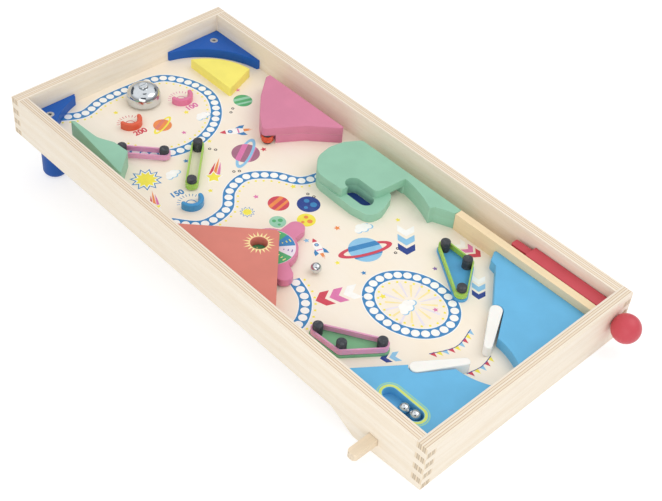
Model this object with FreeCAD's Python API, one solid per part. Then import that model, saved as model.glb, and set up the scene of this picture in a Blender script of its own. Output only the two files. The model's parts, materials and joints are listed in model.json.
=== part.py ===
"""Tabletop bagatelle: a tilted plywood tray with painted blocks, a sprung launcher, two push-lever
flippers, a three-lobed spinner, a bell, cups, posts with rubber bands and three steel balls.

Everything is drawn in the board frame, in millimetres: x runs from the left wall's outer face to the
right, y from the player's end to the far end, and z = 0 is the rim of the walls, so depths are negative.
The finished pieces are then tipped up by the slope of the board and set down on the table.
"""
import FreeCAD
import Part

import math
import os
from collections import namedtuple

from FreeCAD import Vector

# Tray
board_length = 600.0
board_width = 280.0
wall = 12.0
near_wall_height = 55.0
far_wall_height = 46.0
side_foot_length = 80.0
side_foot_slope_run = 30.0
finger_height = 6.9
table_rise = 0.079
floor_depth = 32.5
floor_thickness = 5.0
groove_depth = 4.0
edge_softness = 0.8
wall_softness = 0.5

# Lane and blocks
lane_width = 17.5
divider_width = 9.0
divider_length = 175.5
single_block = 11.5
block_layer = 10.25
corner_block_reach = 72.0
tunnel_gap = 18.0
slot_width = 17.0
slot_length = 35.5
sun_hole_radius = 8.4

# Launcher
cover_wall = 3.0
cover_roof = 2.0
cover_length = 93.0
cover_side_gap = 0.9
striker_reach = 20.5
striker_length = 45.0
striker_bore_depth = 12.0
striker_gap = 0.3
rod_radius = 3.0
knob_radius = 14.5
knob_seat_radius = 5.5
knob_gap = 0.3
knob_bore_depth = 16.0
launch_travel = 35.0
spring_wire = 0.9
launcher_spring_turns = 14

# Flippers and push levers
pivot_spread = 54.0
pivot_from_wall = 67.0
flipper_root_radius = 6.3
flipper_tip_radius = 4.2
flipper_reach = 46.0
flipper_height = 11.5
flipper_lift = 0.5
flipper_droop = 32.0
flipper_swing = 50.0
shaft_radius = 3.0
running_gap = 0.1
crank_radius = 21.5
crank_hub_radius = 7.0
crank_arm_width = 9.0
crank_thickness = 4.0
crank_pin_radius = 2.0
pin_gap = 0.3
lever_width = 10.5
lever_height = 7.8
lever_drop = 1.2
lever_out = 27.5
lever_gap = 0.5
lever_head_width = 15.0
lever_head_length = 19.0
guide_length = 24.0
guide_wall = 5.0
spring_post_half = 15.0
lever_spring_radius = 4.0
lever_spring_turns = 8

# Spinner
spinner_arm = 38.0
spinner_lobe_radius = 9.0
spinner_rim_radius = 27.0
spinner_dial_radius = 24.5
spinner_thickness = 8.0
spinner_clearance = 4.0
dial_thickness = 0.8
axle_radius = 2.0
axle_grip = 5.0

# Small fittings
post_radius = 5.0
post_height = 13.0
bumper_post_height = 15.0
band_thickness = 1.6
band_height = 6.0
band_lift = 1.5
plate_thickness = 3.0
plate_margin = 2.4
cup_outer_radius = 12.8
cup_inner_radius = 8.3
cup_height = 8.0
cup_wrap = 168.0
cup_turn = -2.0
ring_radius = 6.5
ring_post_radius = 4.5
bell_radius = 18.5
bell_height = 19.4
bell_lip_height = 2.5
bell_crown_radius = 10.1
bell_crown_drop = 0.9
bell_base_radius = 16.2
bell_shell = 1.2
bell_bolt_radius = 2.0
ball_radius = 5.5
pocket_width = 14.4
pocket_length = 45.0
pocket_depth = 9.0
foot_radius = 13.5
foot_edge = 6.0
foot_from_side = 16.0
foot_from_end = 14.2
foot_bolt_radius = 2.5
foot_bolt_head_radius = 4.5
foot_bolt_head = 4.0
foot_bolt_grip = 26.0
hex_radius = 2.2
screw_radius = 1.5
screw_head_radius = 3.2
screw_bite = 7.0

# Places worked out from the sizes
tilt = math.degrees(math.atan(table_rise))
left = wall
right = board_width - wall
near = wall
far = board_length - wall
floor = -floor_depth
underside = floor - floor_thickness
single_top = floor + single_block
layer_top = floor + block_layer
double_top = floor + 2 * block_layer
lane_left = right - lane_width
divider_left = lane_left - divider_width
divider_far = near + divider_length
centre = (left + divider_left) / 2
lane_centre = (lane_left + right) / 2


def up(distance):
    """Place along the board of a point laid out on a 576 mm run, stretched to the real run."""
    laid_out_run = 576.0
    return near + distance * (far - near) / laid_out_run


pivot_y = near + pivot_from_wall
pivot_left = (centre - pivot_spread, pivot_y)
pivot_right = (centre + pivot_spread, pivot_y)
half_swing = math.radians(flipper_swing / 2)
lever_travel = 2 * crank_radius * math.sin(half_swing)
flipper_per_lever = math.radians(flipper_swing) / lever_travel
flipper_floor = floor + flipper_lift
flipper_top = flipper_floor + flipper_height
pin_high_y = pivot_y - crank_radius * math.cos(half_swing)
pin_low_y = pivot_y - crank_radius
pin_mid_y = (pin_high_y + pin_low_y) / 2
lever_y = pin_mid_y - 1.0
lever_top = underside - lever_drop
lever_bottom = lever_top - lever_height
lever_mid = (lever_top + lever_bottom) / 2

spinner_top = layer_top - 0.5
spinner_bottom = spinner_top - spinner_thickness
spinner_at = (left + 63.6, up(264.1))
spinner_heading = 7.6
rod_z = floor + 9.0
knob_flat = math.sqrt(knob_radius ** 2 - knob_seat_radius ** 2)
striker_tip = near + cover_length + striker_reach
striker_back = striker_tip - striker_length
striker_top = double_top - cover_roof - striker_gap
pocket_at = (left + 21.2, near + 45.0)
bell_at = (centre + 1.8, far - 43.8)
foot_left = (left + foot_from_side, far - foot_from_end)
foot_right = (right - foot_from_side, far - foot_from_end)
ring_post_at = (lane_left - 63.0, up(395.5))

far_pair = [(left + 43.5, up(473.4)), (left + 74.1, up(442.0))]
mid_pair = [(left + 67.0, up(388.1)), (left + 109.5, up(430.8))]
left_bumper = [(left + 26.6, near + 157.9), (left + 28.6, near + 129.1), (left + 58.9, near + 106.9)]
right_bumper = [
    (lane_left - 40.2, near + 158.5),
    (lane_left - 73.9, near + 106.4),
    (lane_left - 41.1, near + 128.5),
]
cup_orange_at = (left + 80.8, up(509.1))
cup_pink_at = (left + 150.3, up(509.6))
cup_blue_at = (left + 50.9, up(369.0))
free_ball_at = (left + 81.0, up(218.2))
stored_near_at = (pocket_at[0] + 1.0, pocket_at[1] - 13.8)
stored_far_at = (pocket_at[0] - 0.6, pocket_at[1] - 2.4)

Via = namedtuple("Via", "x y")


def turn_point(centre_xy, radius, degrees):
    """Point on a circle of the plan."""
    angle = math.radians(degrees)
    return (centre_xy[0] + radius * math.cos(angle), centre_xy[1] + radius * math.sin(angle))


def corner_points(before, corner, after, radius):
    """Where the rounding of one corner starts, its middle and where it ends."""
    c = Vector(*corner)
    to_before = Vector(*before) - c
    to_after = Vector(*after) - c
    room = 0.48 * min(to_before.Length, to_after.Length)
    to_before.normalize()
    to_after.normalize()
    half = to_before.getAngle(to_after) / 2
    radius = min(radius, room * math.tan(half))
    run = radius / math.tan(half)
    middle_way = (to_before + to_after).normalize()
    middle = c + middle_way * (radius / math.sin(half) - radius)
    return c + to_before * run, middle, c + to_after * run


def outline(*steps):
    """Closed plan wire: (x, y) is a sharp corner, (x, y, r) a rounded one, Via an arc's middle."""
    corners = []
    vias = []
    for step in steps:
        if isinstance(step, Via):
            vias[-1] = step
        else:
            corners.append(step)
            vias.append(None)
    starts, ends, edges = [], [], []
    count = len(corners)
    for i, corner in enumerate(corners):
        xy = corner[:2]
        if len(corner) == 3:
            before = corners[i - 1][:2]
            after = corners[(i + 1) % count][:2]
            first, middle, last = corner_points(before, xy, after, corner[2])
            edges.append(Part.Arc(first, middle, last).toShape())
        else:
            first = last = Vector(*xy)
        starts.append(first)
        ends.append(last)
    for i, via in enumerate(vias):
        a, b = ends[i], starts[(i + 1) % count]
        if via:
            edges.append(Part.Arc(a, Vector(via.x, via.y, 0), b).toShape())
        elif (b - a).Length > 1e-6:
            edges.append(Part.LineSegment(a, b).toShape())
    return Part.Wire(Part.__sortEdges__(edges))


def wrap(centres, radius):
    """Closed wire pulled tight round equal circles, listed anticlockwise."""
    edges = []
    count = len(centres)
    normals = []
    for i, (x, y) in enumerate(centres):
        to_x, to_y = centres[(i + 1) % count]
        length = math.hypot(to_x - x, to_y - y)
        normals.append(((to_y - y) / length, (x - to_x) / length))
    for i, (x, y) in enumerate(centres):
        to_x, to_y = centres[(i + 1) % count]
        nx, ny = normals[i]
        start_angle = math.atan2(ny, nx)
        next_nx, next_ny = normals[(i + 1) % count]
        sweep = (math.atan2(next_ny, next_nx) - start_angle) % (2 * math.pi)
        a = Vector(x + radius * nx, y + radius * ny, 0)
        b = Vector(to_x + radius * nx, to_y + radius * ny, 0)
        edges.append(Part.LineSegment(a, b).toShape())
        points = []
        for share in (0, 0.5, 1):
            angle = start_angle + share * sweep
            points.append(Vector(to_x + radius * math.cos(angle), to_y + radius * math.sin(angle), 0))
        edges.append(Part.Arc(*points).toShape())
    return Part.Wire(Part.__sortEdges__(edges))


def slab(wire, bottom, top):
    """Plate with the plan of a wire, between two heights."""
    face = Part.Face(wire)
    face.translate(Vector(0, 0, bottom))
    return face.extrude(Vector(0, 0, top - bottom))


def box(x0, x1, y0, y1, z0, z1):
    """Box between two corners."""
    return Part.makeBox(x1 - x0, y1 - y0, z1 - z0, Vector(x0, y0, z0))


def peg(at, radius, bottom, top):
    """Upright cylinder."""
    return Part.makeCylinder(radius, top - bottom, Vector(at[0], at[1], bottom))


def eased(shape, height, radius=edge_softness):
    """Shape with the edges that lie at one height rounded over."""
    edges = []
    for edge in shape.Edges:
        bounds = edge.BoundBox
        if abs(bounds.ZMin - height) < 1e-4 and abs(bounds.ZMax - height) < 1e-4:
            edges.append(edge)
    return shape.makeFillet(radius, edges)


def mirrored(shape):
    """Mirror image across the flippers' centre line."""
    return shape.mirror(Vector(centre, 0, 0), Vector(1, 0, 0))


def side_profile():
    """Side wall seen from the side, with its foot cut to lie flat on the table."""
    drop = near_wall_height + table_rise * side_foot_length
    points = [
        (0, 0),
        (0, -near_wall_height),
        (side_foot_length, -drop),
        (side_foot_length + side_foot_slope_run, -far_wall_height),
        (board_length, -far_wall_height),
        (board_length, 0),
        (0, 0),
    ]
    return Part.makePolygon([Vector(0, y, z) for y, z in points])


def finger_cells(height):
    """Heights of the corner joint's fingers, from the rim down."""
    count = max(3, round(height / finger_height))
    step = height / count
    return [(-step * (i + 1), -step * i) for i in range(count)]


def finger_blocks(y0, y1, height, parity):
    """Cells of both corners of one end that belong to the other wall."""
    deep = near_wall_height
    cells = []
    heights = finger_cells(height)
    for i, (low, high) in enumerate(heights):
        if i % 2 == parity:
            low_end = low if i < len(heights) - 1 else -2 * deep
            high_end = high if i else deep
            cells.append(box(-1, left, y0, y1, low_end, high_end))
            cells.append(box(right, board_width + 1, y0, y1, low_end, high_end))
    return cells


def floor_board():
    """Plain floor board, its edges in the grooves of the walls."""
    reach = groove_depth
    return box(left - reach, right + reach, near - reach, far + reach, underside, floor)


def make_playfield():
    """Ply floor in the walls' grooves, bored for the shafts, axle, bolts and screws."""
    holes = []
    for at in (pivot_left, pivot_right):
        holes.append(peg(at, shaft_radius + running_gap, underside, floor))
    for at in (foot_left, foot_right):
        holes.append(peg(at, foot_bolt_radius, underside, floor))
    holes.append(peg(spinner_at, axle_radius, underside, floor))
    holes.append(peg(bell_at, bell_bolt_radius, underside, floor))
    holes.extend(screws(0))
    return floor_board().cut(holes)


def screws(extra):
    """Countersunk screws up through the floor, one solid for each place."""
    made = []
    for at, bite in screw_places():
        shank = peg(at, screw_radius, underside, floor + bite + extra)
        head_height = screw_head_radius - screw_radius
        foot = Vector(at[0], at[1], underside)
        head = Part.makeCone(screw_head_radius, screw_radius, head_height, foot)
        made.append(shank.fuse(head).removeSplitter())
    return made


def screw_places():
    """Plan points of the screws that hold the blocks, with how far each bites."""
    return [
        ((divider_left + divider_width / 2, near + 28), screw_bite),
        ((divider_left + divider_width / 2, divider_far - 28), screw_bite),
        ((left + 16, near + 92), screw_bite),
        ((left + 72, near + 14), screw_bite),
        ((divider_left - 22, near + 20), screw_bite),
        ((divider_left - 16, near + 96), screw_bite),
        ((left + 6, up(196)), screw_bite),
        ((left + 6, up(336)), screw_bite),
        ((left + 20, up(222)), screw_bite),
        ((left + 26, up(460)), screw_bite),
        ((lane_left - 20, up(380)), screw_bite),
        ((lane_left - 18, up(432)), screw_bite),
        ((lane_left - 28.5, far - 52), screw_bite),
        ((lane_left - 46, up(312)), screw_bite),
        ((lane_left - 36, up(272)), screw_bite),
        ((lane_left - 5.5, up(298)), screw_bite),
        ((lane_left - 8, up(200)), screw_bite),
    ]


def make_walls():
    """Four ply walls with finger joints, floor grooves, lever slots and the launcher's bore."""
    profile = Part.Face(side_profile())
    groove = floor_board()
    near_cells = finger_blocks(-1, near, near_wall_height, 0)
    far_cells = finger_blocks(far, board_length + 1, far_wall_height, 0)
    walls = {}
    for name, x in (("left_wall", 0.0), ("right_wall", right)):
        side = profile.extrude(Vector(wall, 0, 0))
        side.translate(Vector(x, 0, 0))
        walls[name] = side.cut(near_cells + far_cells + [groove, lever_passage(x - 1, x + wall + 1)])
    full = profile.extrude(Vector(board_width, 0, 0))
    near_end = full.common(box(-1, board_width + 1, -1, near, -2 * near_wall_height, 1))
    far_end = full.common(box(-1, board_width + 1, far, board_length + 1, -2 * near_wall_height, 1))
    near_bore = lane_rod(rod_radius + running_gap, -1, near + 1)
    side_cells_near = finger_blocks(-1, near, near_wall_height, 1)
    side_cells_far = finger_blocks(far, board_length + 1, far_wall_height, 1)
    walls["near_wall"] = near_end.cut(side_cells_near + [groove, near_bore])
    walls["far_wall"] = far_end.cut(side_cells_far + [groove])
    return walls


def lane_rod(radius, y0, y1):
    """Cylinder on the launcher's line."""
    return Part.makeCylinder(radius, y1 - y0, Vector(lane_centre, y0, rod_z), Vector(0, 1, 0))


def lever_passage(x0, x1):
    """Room a lever's bar needs between two places across the board."""
    half = lever_width / 2 + lever_gap
    return box(x0, x1, lever_y - half, lever_y + half, lever_bottom - lever_gap, lever_top + lever_gap)


def make_divider():
    """Straight wooden rail between the lane and the playfield."""
    rail = box(divider_left, lane_left, near, divider_far, floor, double_top)
    rail = rail.cut(screws(0.5))
    return eased(rail, double_top, wall_softness)


def make_corner_blocks():
    """Blue guides in the far corners, each carrying a foot bolt's head."""
    reach = corner_block_reach
    right_wire = outline(
        (right, far),
        (right - reach, far),
        (right - reach + 1.2, far - 2.4),
        Via(right - 31.5, far - 24.0),
        (right - 3.5, far - 75.0),
        (right, far - 76.0),
    )
    left_wire = outline(
        (left, far),
        (left, far - 48.0),
        Via(left + 26.1, far - 18.7),
        (left + 54.6, far - 4.7),
        (left + 57.0, far),
    )
    blocks = {}
    for side, wire, at in (("left", left_wire, foot_left), ("right", right_wire, foot_right)):
        block = slab(wire, floor, single_top)
        block = eased(block, single_top)
        bore = peg(at, foot_bolt_radius, floor, single_top)
        head = peg(at, foot_bolt_head_radius, single_top - foot_bolt_head, single_top)
        blocks["corner_block_" + side] = block.cut([bore, head])
    return blocks


def make_yellow_block():
    """Yellow wedge that makes the inner side of the curved track."""
    wire = outline(
        (lane_left - 42.5, far - 27.0),
        (lane_left - 43.2, far - 96.3, 2.0),
        (lane_left - 2.0, far - 81.0),
        Via(lane_left - 17.0, far - 46.0),
    )
    block = eased(slab(wire, floor, single_top), single_top)
    return block.cut(screws(0.5))


def make_pink_block():
    """Pink block in two layers, the lower one cut back round the ring's post."""
    wire = outline(
        (lane_left, up(463.0)),
        (lane_left, up(344.0), 3.0),
        (lane_left - 4.0, up(346.0), 5.0),
        (lane_left - 30.0, up(371.5), 30.0),
        (lane_left - 70.5, up(396.0), 5.0),
        (lane_left - 56.0, up(416.5), 40.0),
        (lane_left - 33.0, up(441.0), 40.0),
        (lane_left - 6.0, up(463.0), 6.0),
    )
    base = slab(wire, floor, layer_top)
    base = base.cut([peg(ring_post_at, ring_radius + 2.5, floor, layer_top)] + screws(0.5))
    top = eased(slab(wire, layer_top, double_top), double_top)
    return base, largest(top)


def largest(shape):
    """Largest solid of a shape."""
    return max(shape.Solids, key=lambda solid: solid.Volume)


def make_tunnel_block():
    """Green tunnel block: a hook with a slot, a right-hand leg and a roof that bridges them."""
    x = lane_left
    slot_x = x - 55.5
    slot_far = up(281.5)
    slot_near = slot_far - slot_length
    inner = x - 10.5
    slot_half = slot_width / 2
    slot_wire = wrap([(slot_x, slot_near + slot_half), (slot_x, slot_far - slot_half)], slot_half)
    hook_wire = outline(
        (inner - tunnel_gap, up(327.5), 2.0),
        (inner - tunnel_gap - 10, up(330.0), 10.0),
        (x - 55.0, up(327.0), 24.0),
        (x - 73.5, up(309.0), 22.0),
        (x - 74.5, up(256.0), 24.0),
        (x - 70.0, up(235.0), 14.0),
        (x - 55.0, up(231.5), 30.0),
        (inner - tunnel_gap, up(242.5), 9.0),
    )
    hook = slab(hook_wire, floor, layer_top).cut([slab(slot_wire, floor, layer_top)] + screws(0.5))
    leg_end = [
        (inner + 1.3, up(244.7)),
        Via(x - 14.5, up(219.0)),
        (x - 22.9, up(197.8)),
        (x - 17.3, up(196.0)),
        (x - 8.4, divider_far + 0.8),
        (x, divider_far),
    ]
    leg_wire = outline((x, up(316.5)), (inner, up(324.0)), (inner, up(246.0)), *leg_end)
    leg = slab(leg_wire, floor, layer_top).cut(screws(0.5))
    roof_wire = outline(
        *leg_end,
        (x, up(316.5), 4.0),
        (x - 17.0, up(327.0), 20.0),
        (x - 34.5, up(330.5), 20.0),
        (x - 55.0, up(327.0), 24.0),
        (x - 73.5, up(309.0), 22.0),
        (x - 72.0, up(273.5), 2.0),
        (x - 64.0, up(273.0)),
        Via(slot_x - 1.5, slot_far),
        (slot_x + slot_half, slot_far - slot_half),
        (slot_x + slot_half, up(248.5), 6.0),
    )
    roof = eased(slab(roof_wire, layer_top, double_top), double_top)
    return {"tunnel_base": Part.makeCompound([hook, leg]), "tunnel_roof": roof}


def make_wedge_block():
    """Green wedge beside the left wall."""
    wire = outline(
        (left + 10.0, up(430.0), 1.5),
        (left + 37.0, up(454.0), 2.0),
        (left + 35.0, up(474.0), 12.0),
        (left + 26.0, up(491.0), 20.0),
        (left + 24.0, up(527.0), 2.0),
        (left + 20.5, up(531.0), 2.0),
    )
    block = eased(slab(wire, floor, double_top), double_top)
    return block.cut(screws(0.5))


def make_spinner_housing():
    """Coral housing: a base cut round the wheel's sweep and a cover with the window hole."""
    tip = (left + 78.5, up(268.2))
    wire = outline((left, up(186.3)), (tip[0], tip[1], 5.0), (left, up(345.7)))
    sweep = spinner_arm + spinner_lobe_radius + spinner_clearance
    cavity = peg(spinner_at, sweep, floor, layer_top)
    base = slab(wire, floor, layer_top).cut([cavity] + screws(0.5))
    cover = eased(slab(wire, layer_top, double_top), double_top)
    window = peg((left + 51.0, up(267.1)), sun_hole_radius, layer_top, double_top)
    socket = peg(spinner_at, axle_radius, layer_top, layer_top + axle_grip)
    return {"spinner_base": base, "spinner_cover": cover.cut([window, socket])}


def make_spinner():
    """Three-lobed wheel with its printed dial let in, and the pin it turns on."""
    arms = []
    for i in range(3):
        end = turn_point(spinner_at, spinner_arm, spinner_heading + 120 * i)
        arms.append(slab(wrap([spinner_at, end], spinner_lobe_radius), spinner_bottom, spinner_top))
    wheel = peg(spinner_at, spinner_rim_radius, spinner_bottom, spinner_top).fuse(arms).removeSplitter()
    wheel = eased(wheel, spinner_top, 0.6)
    recess = peg(spinner_at, spinner_dial_radius, spinner_top - dial_thickness, spinner_top)
    bore = peg(spinner_at, axle_radius + running_gap, spinner_bottom, spinner_top)
    dial = recess.cut(bore)
    axle = peg(spinner_at, axle_radius, underside, layer_top + axle_grip)
    return {"spinner_wheel": wheel.cut([recess, bore]), "spinner_dial": dial, "spinner_axle": axle}


def droop_point(pivot, along, across, side):
    """Point beside a drooping flipper, along and across its own line; side is 1 on the left."""
    angle = math.radians(-flipper_droop)
    dx = along * math.cos(angle) - across * math.sin(angle)
    dy = along * math.sin(angle) + across * math.cos(angle)
    return (pivot[0] + side * dx, pivot[1] + dy)


def make_aprons():
    """Light blue aprons that lead to the flippers, the left one with the ball pocket."""
    gap = flipper_root_radius + 0.8
    shoulder = turn_point(pivot_left, gap, 118)
    cheek = turn_point(pivot_left, gap, 190)
    seat = droop_point(pivot_left, 0, -gap, 1)
    run_end = droop_point(pivot_left, 34.5, -gap, 1)
    left_wire = outline(
        (left, near),
        (centre - 14.0, near),
        (centre - 14.0, near + 3.0),
        Via(centre - 25.6, near + 26.0),
        run_end,
        seat,
        Via(cheek[0], cheek[1]),
        shoulder,
        (left, near + 114.5),
    )
    apron_left = eased(slab(left_wire, floor, single_top), single_top)
    half = (pocket_length - pocket_width) / 2
    ends = [(pocket_at[0], pocket_at[1] - half), (pocket_at[0], pocket_at[1] + half)]
    pocket = slab(wrap(ends, pocket_width / 2), single_top - pocket_depth, single_top)
    apron_left = apron_left.cut([pocket] + screws(0.5))

    def across(point):
        return (2 * centre - point[0], point[1])

    right_wire = outline(
        (divider_left, near),
        (divider_left, near + 121.5, 2.0),
        (divider_left - 14.2, near + 114.5, 3.0),
        (divider_left - 15.8, near + 106.5, 4.0),
        across(shoulder),
        Via(*across(cheek)),
        across(seat),
        across(run_end),
        Via(centre + 25.6, near + 26.0),
        (centre + 14.0, near + 3.0),
        (centre + 14.0, near),
    )
    apron_right = eased(slab(right_wire, floor, single_top), single_top)
    return {"apron_left": apron_left, "apron_right": apron_right.cut(screws(0.5))}


def make_flippers():
    """White flippers, their shafts through the floor and the cranks beneath."""
    tip = turn_point(pivot_left, flipper_reach, -flipper_droop)
    lean = math.degrees(math.asin((flipper_root_radius - flipper_tip_radius) / flipper_reach))
    up = 90 - flipper_droop - lean
    down = -90 - flipper_droop + lean
    wire = outline(
        turn_point(pivot_left, flipper_root_radius, up),
        Via(*turn_point(pivot_left, flipper_root_radius, 180 - flipper_droop)),
        turn_point(pivot_left, flipper_root_radius, down),
        turn_point(tip, flipper_tip_radius, down),
        Via(*turn_point(tip, flipper_tip_radius, -flipper_droop)),
        turn_point(tip, flipper_tip_radius, up),
    )
    paddle = eased(slab(wire, flipper_floor, flipper_top), flipper_top, 1.0)
    socket_top = flipper_top - 3.5
    crank_bottom = lever_bottom - 0.5 - crank_thickness
    shaft = peg(pivot_left, shaft_radius, crank_bottom, socket_top)
    pin_at = turn_point(pivot_left, crank_radius, -90 - flipper_swing / 2)
    arm_wire = wrap([pivot_left, pin_at], crank_arm_width / 2)
    arm = slab(arm_wire, crank_bottom, crank_bottom + crank_thickness)
    hub = peg(pivot_left, crank_hub_radius, crank_bottom, underside - 0.5)
    pin = peg(pin_at, crank_pin_radius, crank_bottom, lever_top - 0.8)
    crank = arm.fuse([hub, pin]).removeSplitter()
    made = {
        "flipper_left": paddle.cut(shaft),
        "flipper_shaft_left": shaft,
        "flipper_crank_left": crank.cut(shaft),
    }
    for name in list(made):
        made[name.replace("left", "right")] = mirrored(made[name])
    return made, pin_at


def make_levers(pin_at):
    """Push levers through the side walls, with their guides, springs and spring block."""
    made = {}
    guides = []
    y0 = lever_y - lever_width / 2
    y1 = lever_y + lever_width / 2
    head_inner = pin_at[0] + lever_head_length / 2 + 0.8
    head_outer = head_inner - lever_head_length
    half_head = lever_head_width / 2
    head = box(head_outer, head_inner, pin_mid_y - half_head, pin_mid_y + half_head, lever_bottom, lever_top)
    half_slot = (pin_low_y - pin_high_y) / 2
    slot_ends = [(pin_at[0], pin_mid_y + half_slot), (pin_at[0], pin_mid_y - half_slot)]
    slot = slab(wrap(slot_ends, crank_pin_radius + pin_gap), lever_bottom, lever_top)
    guide_inner = head_outer - 0.5
    guide_outer = guide_inner - guide_length
    guide = box(guide_outer, guide_inner, y0 - lever_gap - guide_wall, y1 + lever_gap + guide_wall,
                lever_bottom - lever_gap - guide_wall / 2, underside)
    guide = guide.cut(lever_passage(guide_outer, guide_inner))
    for side, outer_face in (("left", 0.0), ("right", 2 * centre - board_width)):
        tip = outer_face - lever_out
        bar_wire = outline((tip, y0, 4.0), (head_outer, y0), (head_outer, y1), (tip, y1, 4.0))
        bar = slab(bar_wire, lever_bottom, lever_top)
        lever = eased(bar, lever_top, wall_softness).fuse(head).removeSplitter().cut(slot)
        made["side_lever_" + side] = lever if side == "left" else mirrored(lever)
        guides.append(guide if side == "left" else mirrored(guide))
    made["lever_guides"] = Part.makeCompound(guides)
    block_face = centre - spring_post_half
    room = block_face - head_inner
    spring = coil(lever_spring_radius, room - 0.4, spring_wire, lever_spring_turns)
    spring.rotate(Vector(), Vector(0, 1, 0), 90)
    spring.rotate(Vector(), Vector(0, 0, 1), 180)
    spring.translate(Vector(block_face - 0.2, pin_mid_y, lever_mid))
    made["lever_spring_left"] = spring
    far_face = 2 * centre - block_face
    made["lever_spring_right"] = spring.translated(Vector(far_face - head_inner, 0, 0))
    block_bottom = lever_bottom - lever_gap
    made["lever_spring_block"] = box(block_face, far_face, y0 - lever_gap, y1 + guide_wall,
                                     block_bottom, underside)
    return made


def coil(radius, length, wire, turns):
    """Compression spring standing on the origin, with its wire's centre on the stated radius."""
    pitch = (length - wire) / turns
    helix = Part.makeHelix(pitch, pitch * turns, radius)
    section = Part.Wire(Part.makeCircle(wire / 2, Vector(radius, 0, 0), Vector(0, 1, 0)))
    spring = Part.Wire(helix).makePipeShell([section], True, True)
    spring.translate(Vector(0, 0, wire / 2))
    return spring


def make_launcher():
    """Red cover fixed in the lane, and the striker, rod, spring and knob that slide in it."""
    half = lane_width / 2 - cover_side_gap
    cover_far = near + cover_length
    channel_half = half - cover_wall
    cover = box(lane_centre - half, lane_centre + half, near, cover_far, floor, double_top)
    ceiling = double_top - cover_roof
    channel = box(lane_centre - channel_half, lane_centre + channel_half, near, cover_far, floor, ceiling)
    cover = eased(cover, double_top).cut(channel)
    striker_half = channel_half - striker_gap
    striker = box(lane_centre - striker_half, lane_centre + striker_half, striker_back, striker_tip,
                  floor + striker_gap, striker_top)
    striker = striker.makeFillet(1.5, [e for e in striker.Edges if e.BoundBox.YMin > striker_tip - 0.01
                                       and e.BoundBox.ZLength > 1])
    knob_y = -knob_gap - knob_flat
    rod_start = -knob_gap - knob_bore_depth
    rod = lane_rod(rod_radius, rod_start, striker_back + striker_bore_depth)
    knob = Part.makeSphere(knob_radius, Vector(lane_centre, knob_y, rod_z))
    reach = 2 * knob_radius
    seat_cut = box(lane_centre - reach, lane_centre + reach, -knob_gap, reach, rod_z - reach, rod_z + reach)
    knob = knob.cut([seat_cut, rod])
    spring_radius = rod_radius + spring_wire / 2 + 0.25
    spring = coil(spring_radius, striker_back - near - 0.4, spring_wire, launcher_spring_turns)
    spring.rotate(Vector(), Vector(1, 0, 0), -90)
    spring.translate(Vector(lane_centre, near + 0.2, rod_z))
    return {
        "launcher_cover": cover,
        "launcher_striker": striker.cut(rod),
        "launcher_rod": rod,
        "launcher_spring": spring,
        "launcher_knob": knob,
    }


def make_cup(at):
    """U-shaped catcher, open towards the far end."""
    back = 270 + cup_turn
    start = back - cup_wrap / 2
    end = back + cup_wrap / 2
    middle_radius = (cup_outer_radius + cup_inner_radius) / 2
    outer = [turn_point(at, cup_outer_radius, a) for a in (start, back, end)]
    inner = [turn_point(at, cup_inner_radius, a) for a in (end, back, start)]
    bulge = math.degrees((cup_outer_radius - cup_inner_radius) / 2 / middle_radius)
    wire = outline(
        outer[0],
        Via(*outer[1]),
        outer[2],
        Via(*turn_point(at, middle_radius, end + bulge)),
        inner[0],
        Via(*inner[1]),
        inner[2],
        Via(*turn_point(at, middle_radius, start - bulge)),
    )
    return eased(slab(wire, floor, floor + cup_height), floor + cup_height, 1.2)


def make_post(at, base, height, radius=post_radius):
    """Rubber-capped post with a softly domed head."""
    post = peg(at, radius, base, base + height)
    return eased(post, base + height, 1.2)


def make_band(centres, radius, base):
    """Rubber band stretched round posts."""
    top = base + band_height
    outer = slab(wrap(centres, radius + band_thickness), base, top)
    return outer.cut(slab(wrap(centres, radius), base, top))


def make_posts_and_bands():
    """Two banded pairs, two triangular bumpers and the small ring bumper."""
    made = {}
    pairs = [make_post(at, floor, post_height) for at in far_pair + mid_pair]
    made["band_posts"] = Part.makeCompound(pairs)
    plate_top = floor + plate_thickness
    bumper_posts = []
    for side, places in (("left", left_bumper), ("right", right_bumper)):
        ordered = anticlockwise(places)
        plate = slab(wrap(ordered, post_radius + plate_margin), floor, plate_top)
        made["bumper_plate_" + side] = eased(plate, plate_top, 0.6)
        for at in places:
            bumper_posts.append(make_post(at, plate_top, bumper_post_height - plate_thickness))
        made["band_bumper_" + side] = make_band(ordered, post_radius, plate_top + 0.6)
    made["bumper_posts"] = Part.makeCompound(bumper_posts)
    made["band_far_pair"] = make_band(far_pair, post_radius, floor + band_lift)
    made["band_mid_pair"] = make_band(mid_pair, post_radius, floor + band_lift)
    made["ring_post"] = peg(ring_post_at, ring_post_radius, floor, layer_top)
    torus_radius = (ring_radius + ring_post_radius) / 2
    ring = peg(ring_post_at, ring_radius, floor + 2.5, layer_top - 1.2)
    ring = ring.cut(peg(ring_post_at, ring_post_radius, floor, layer_top))
    outer_edges = [e for e in ring.Edges if e.Length > 2 * math.pi * torus_radius]
    made["ring_bumper"] = ring.makeFillet(1.0, outer_edges)
    return made


def anticlockwise(places):
    """Three plan points in anticlockwise order."""
    (ax, ay), (bx, by), (cx, cy) = places
    turn = (bx - ax) * (cy - ay) - (by - ay) * (cx - ax)
    return places if turn > 0 else [places[0], places[2], places[1]]


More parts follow.
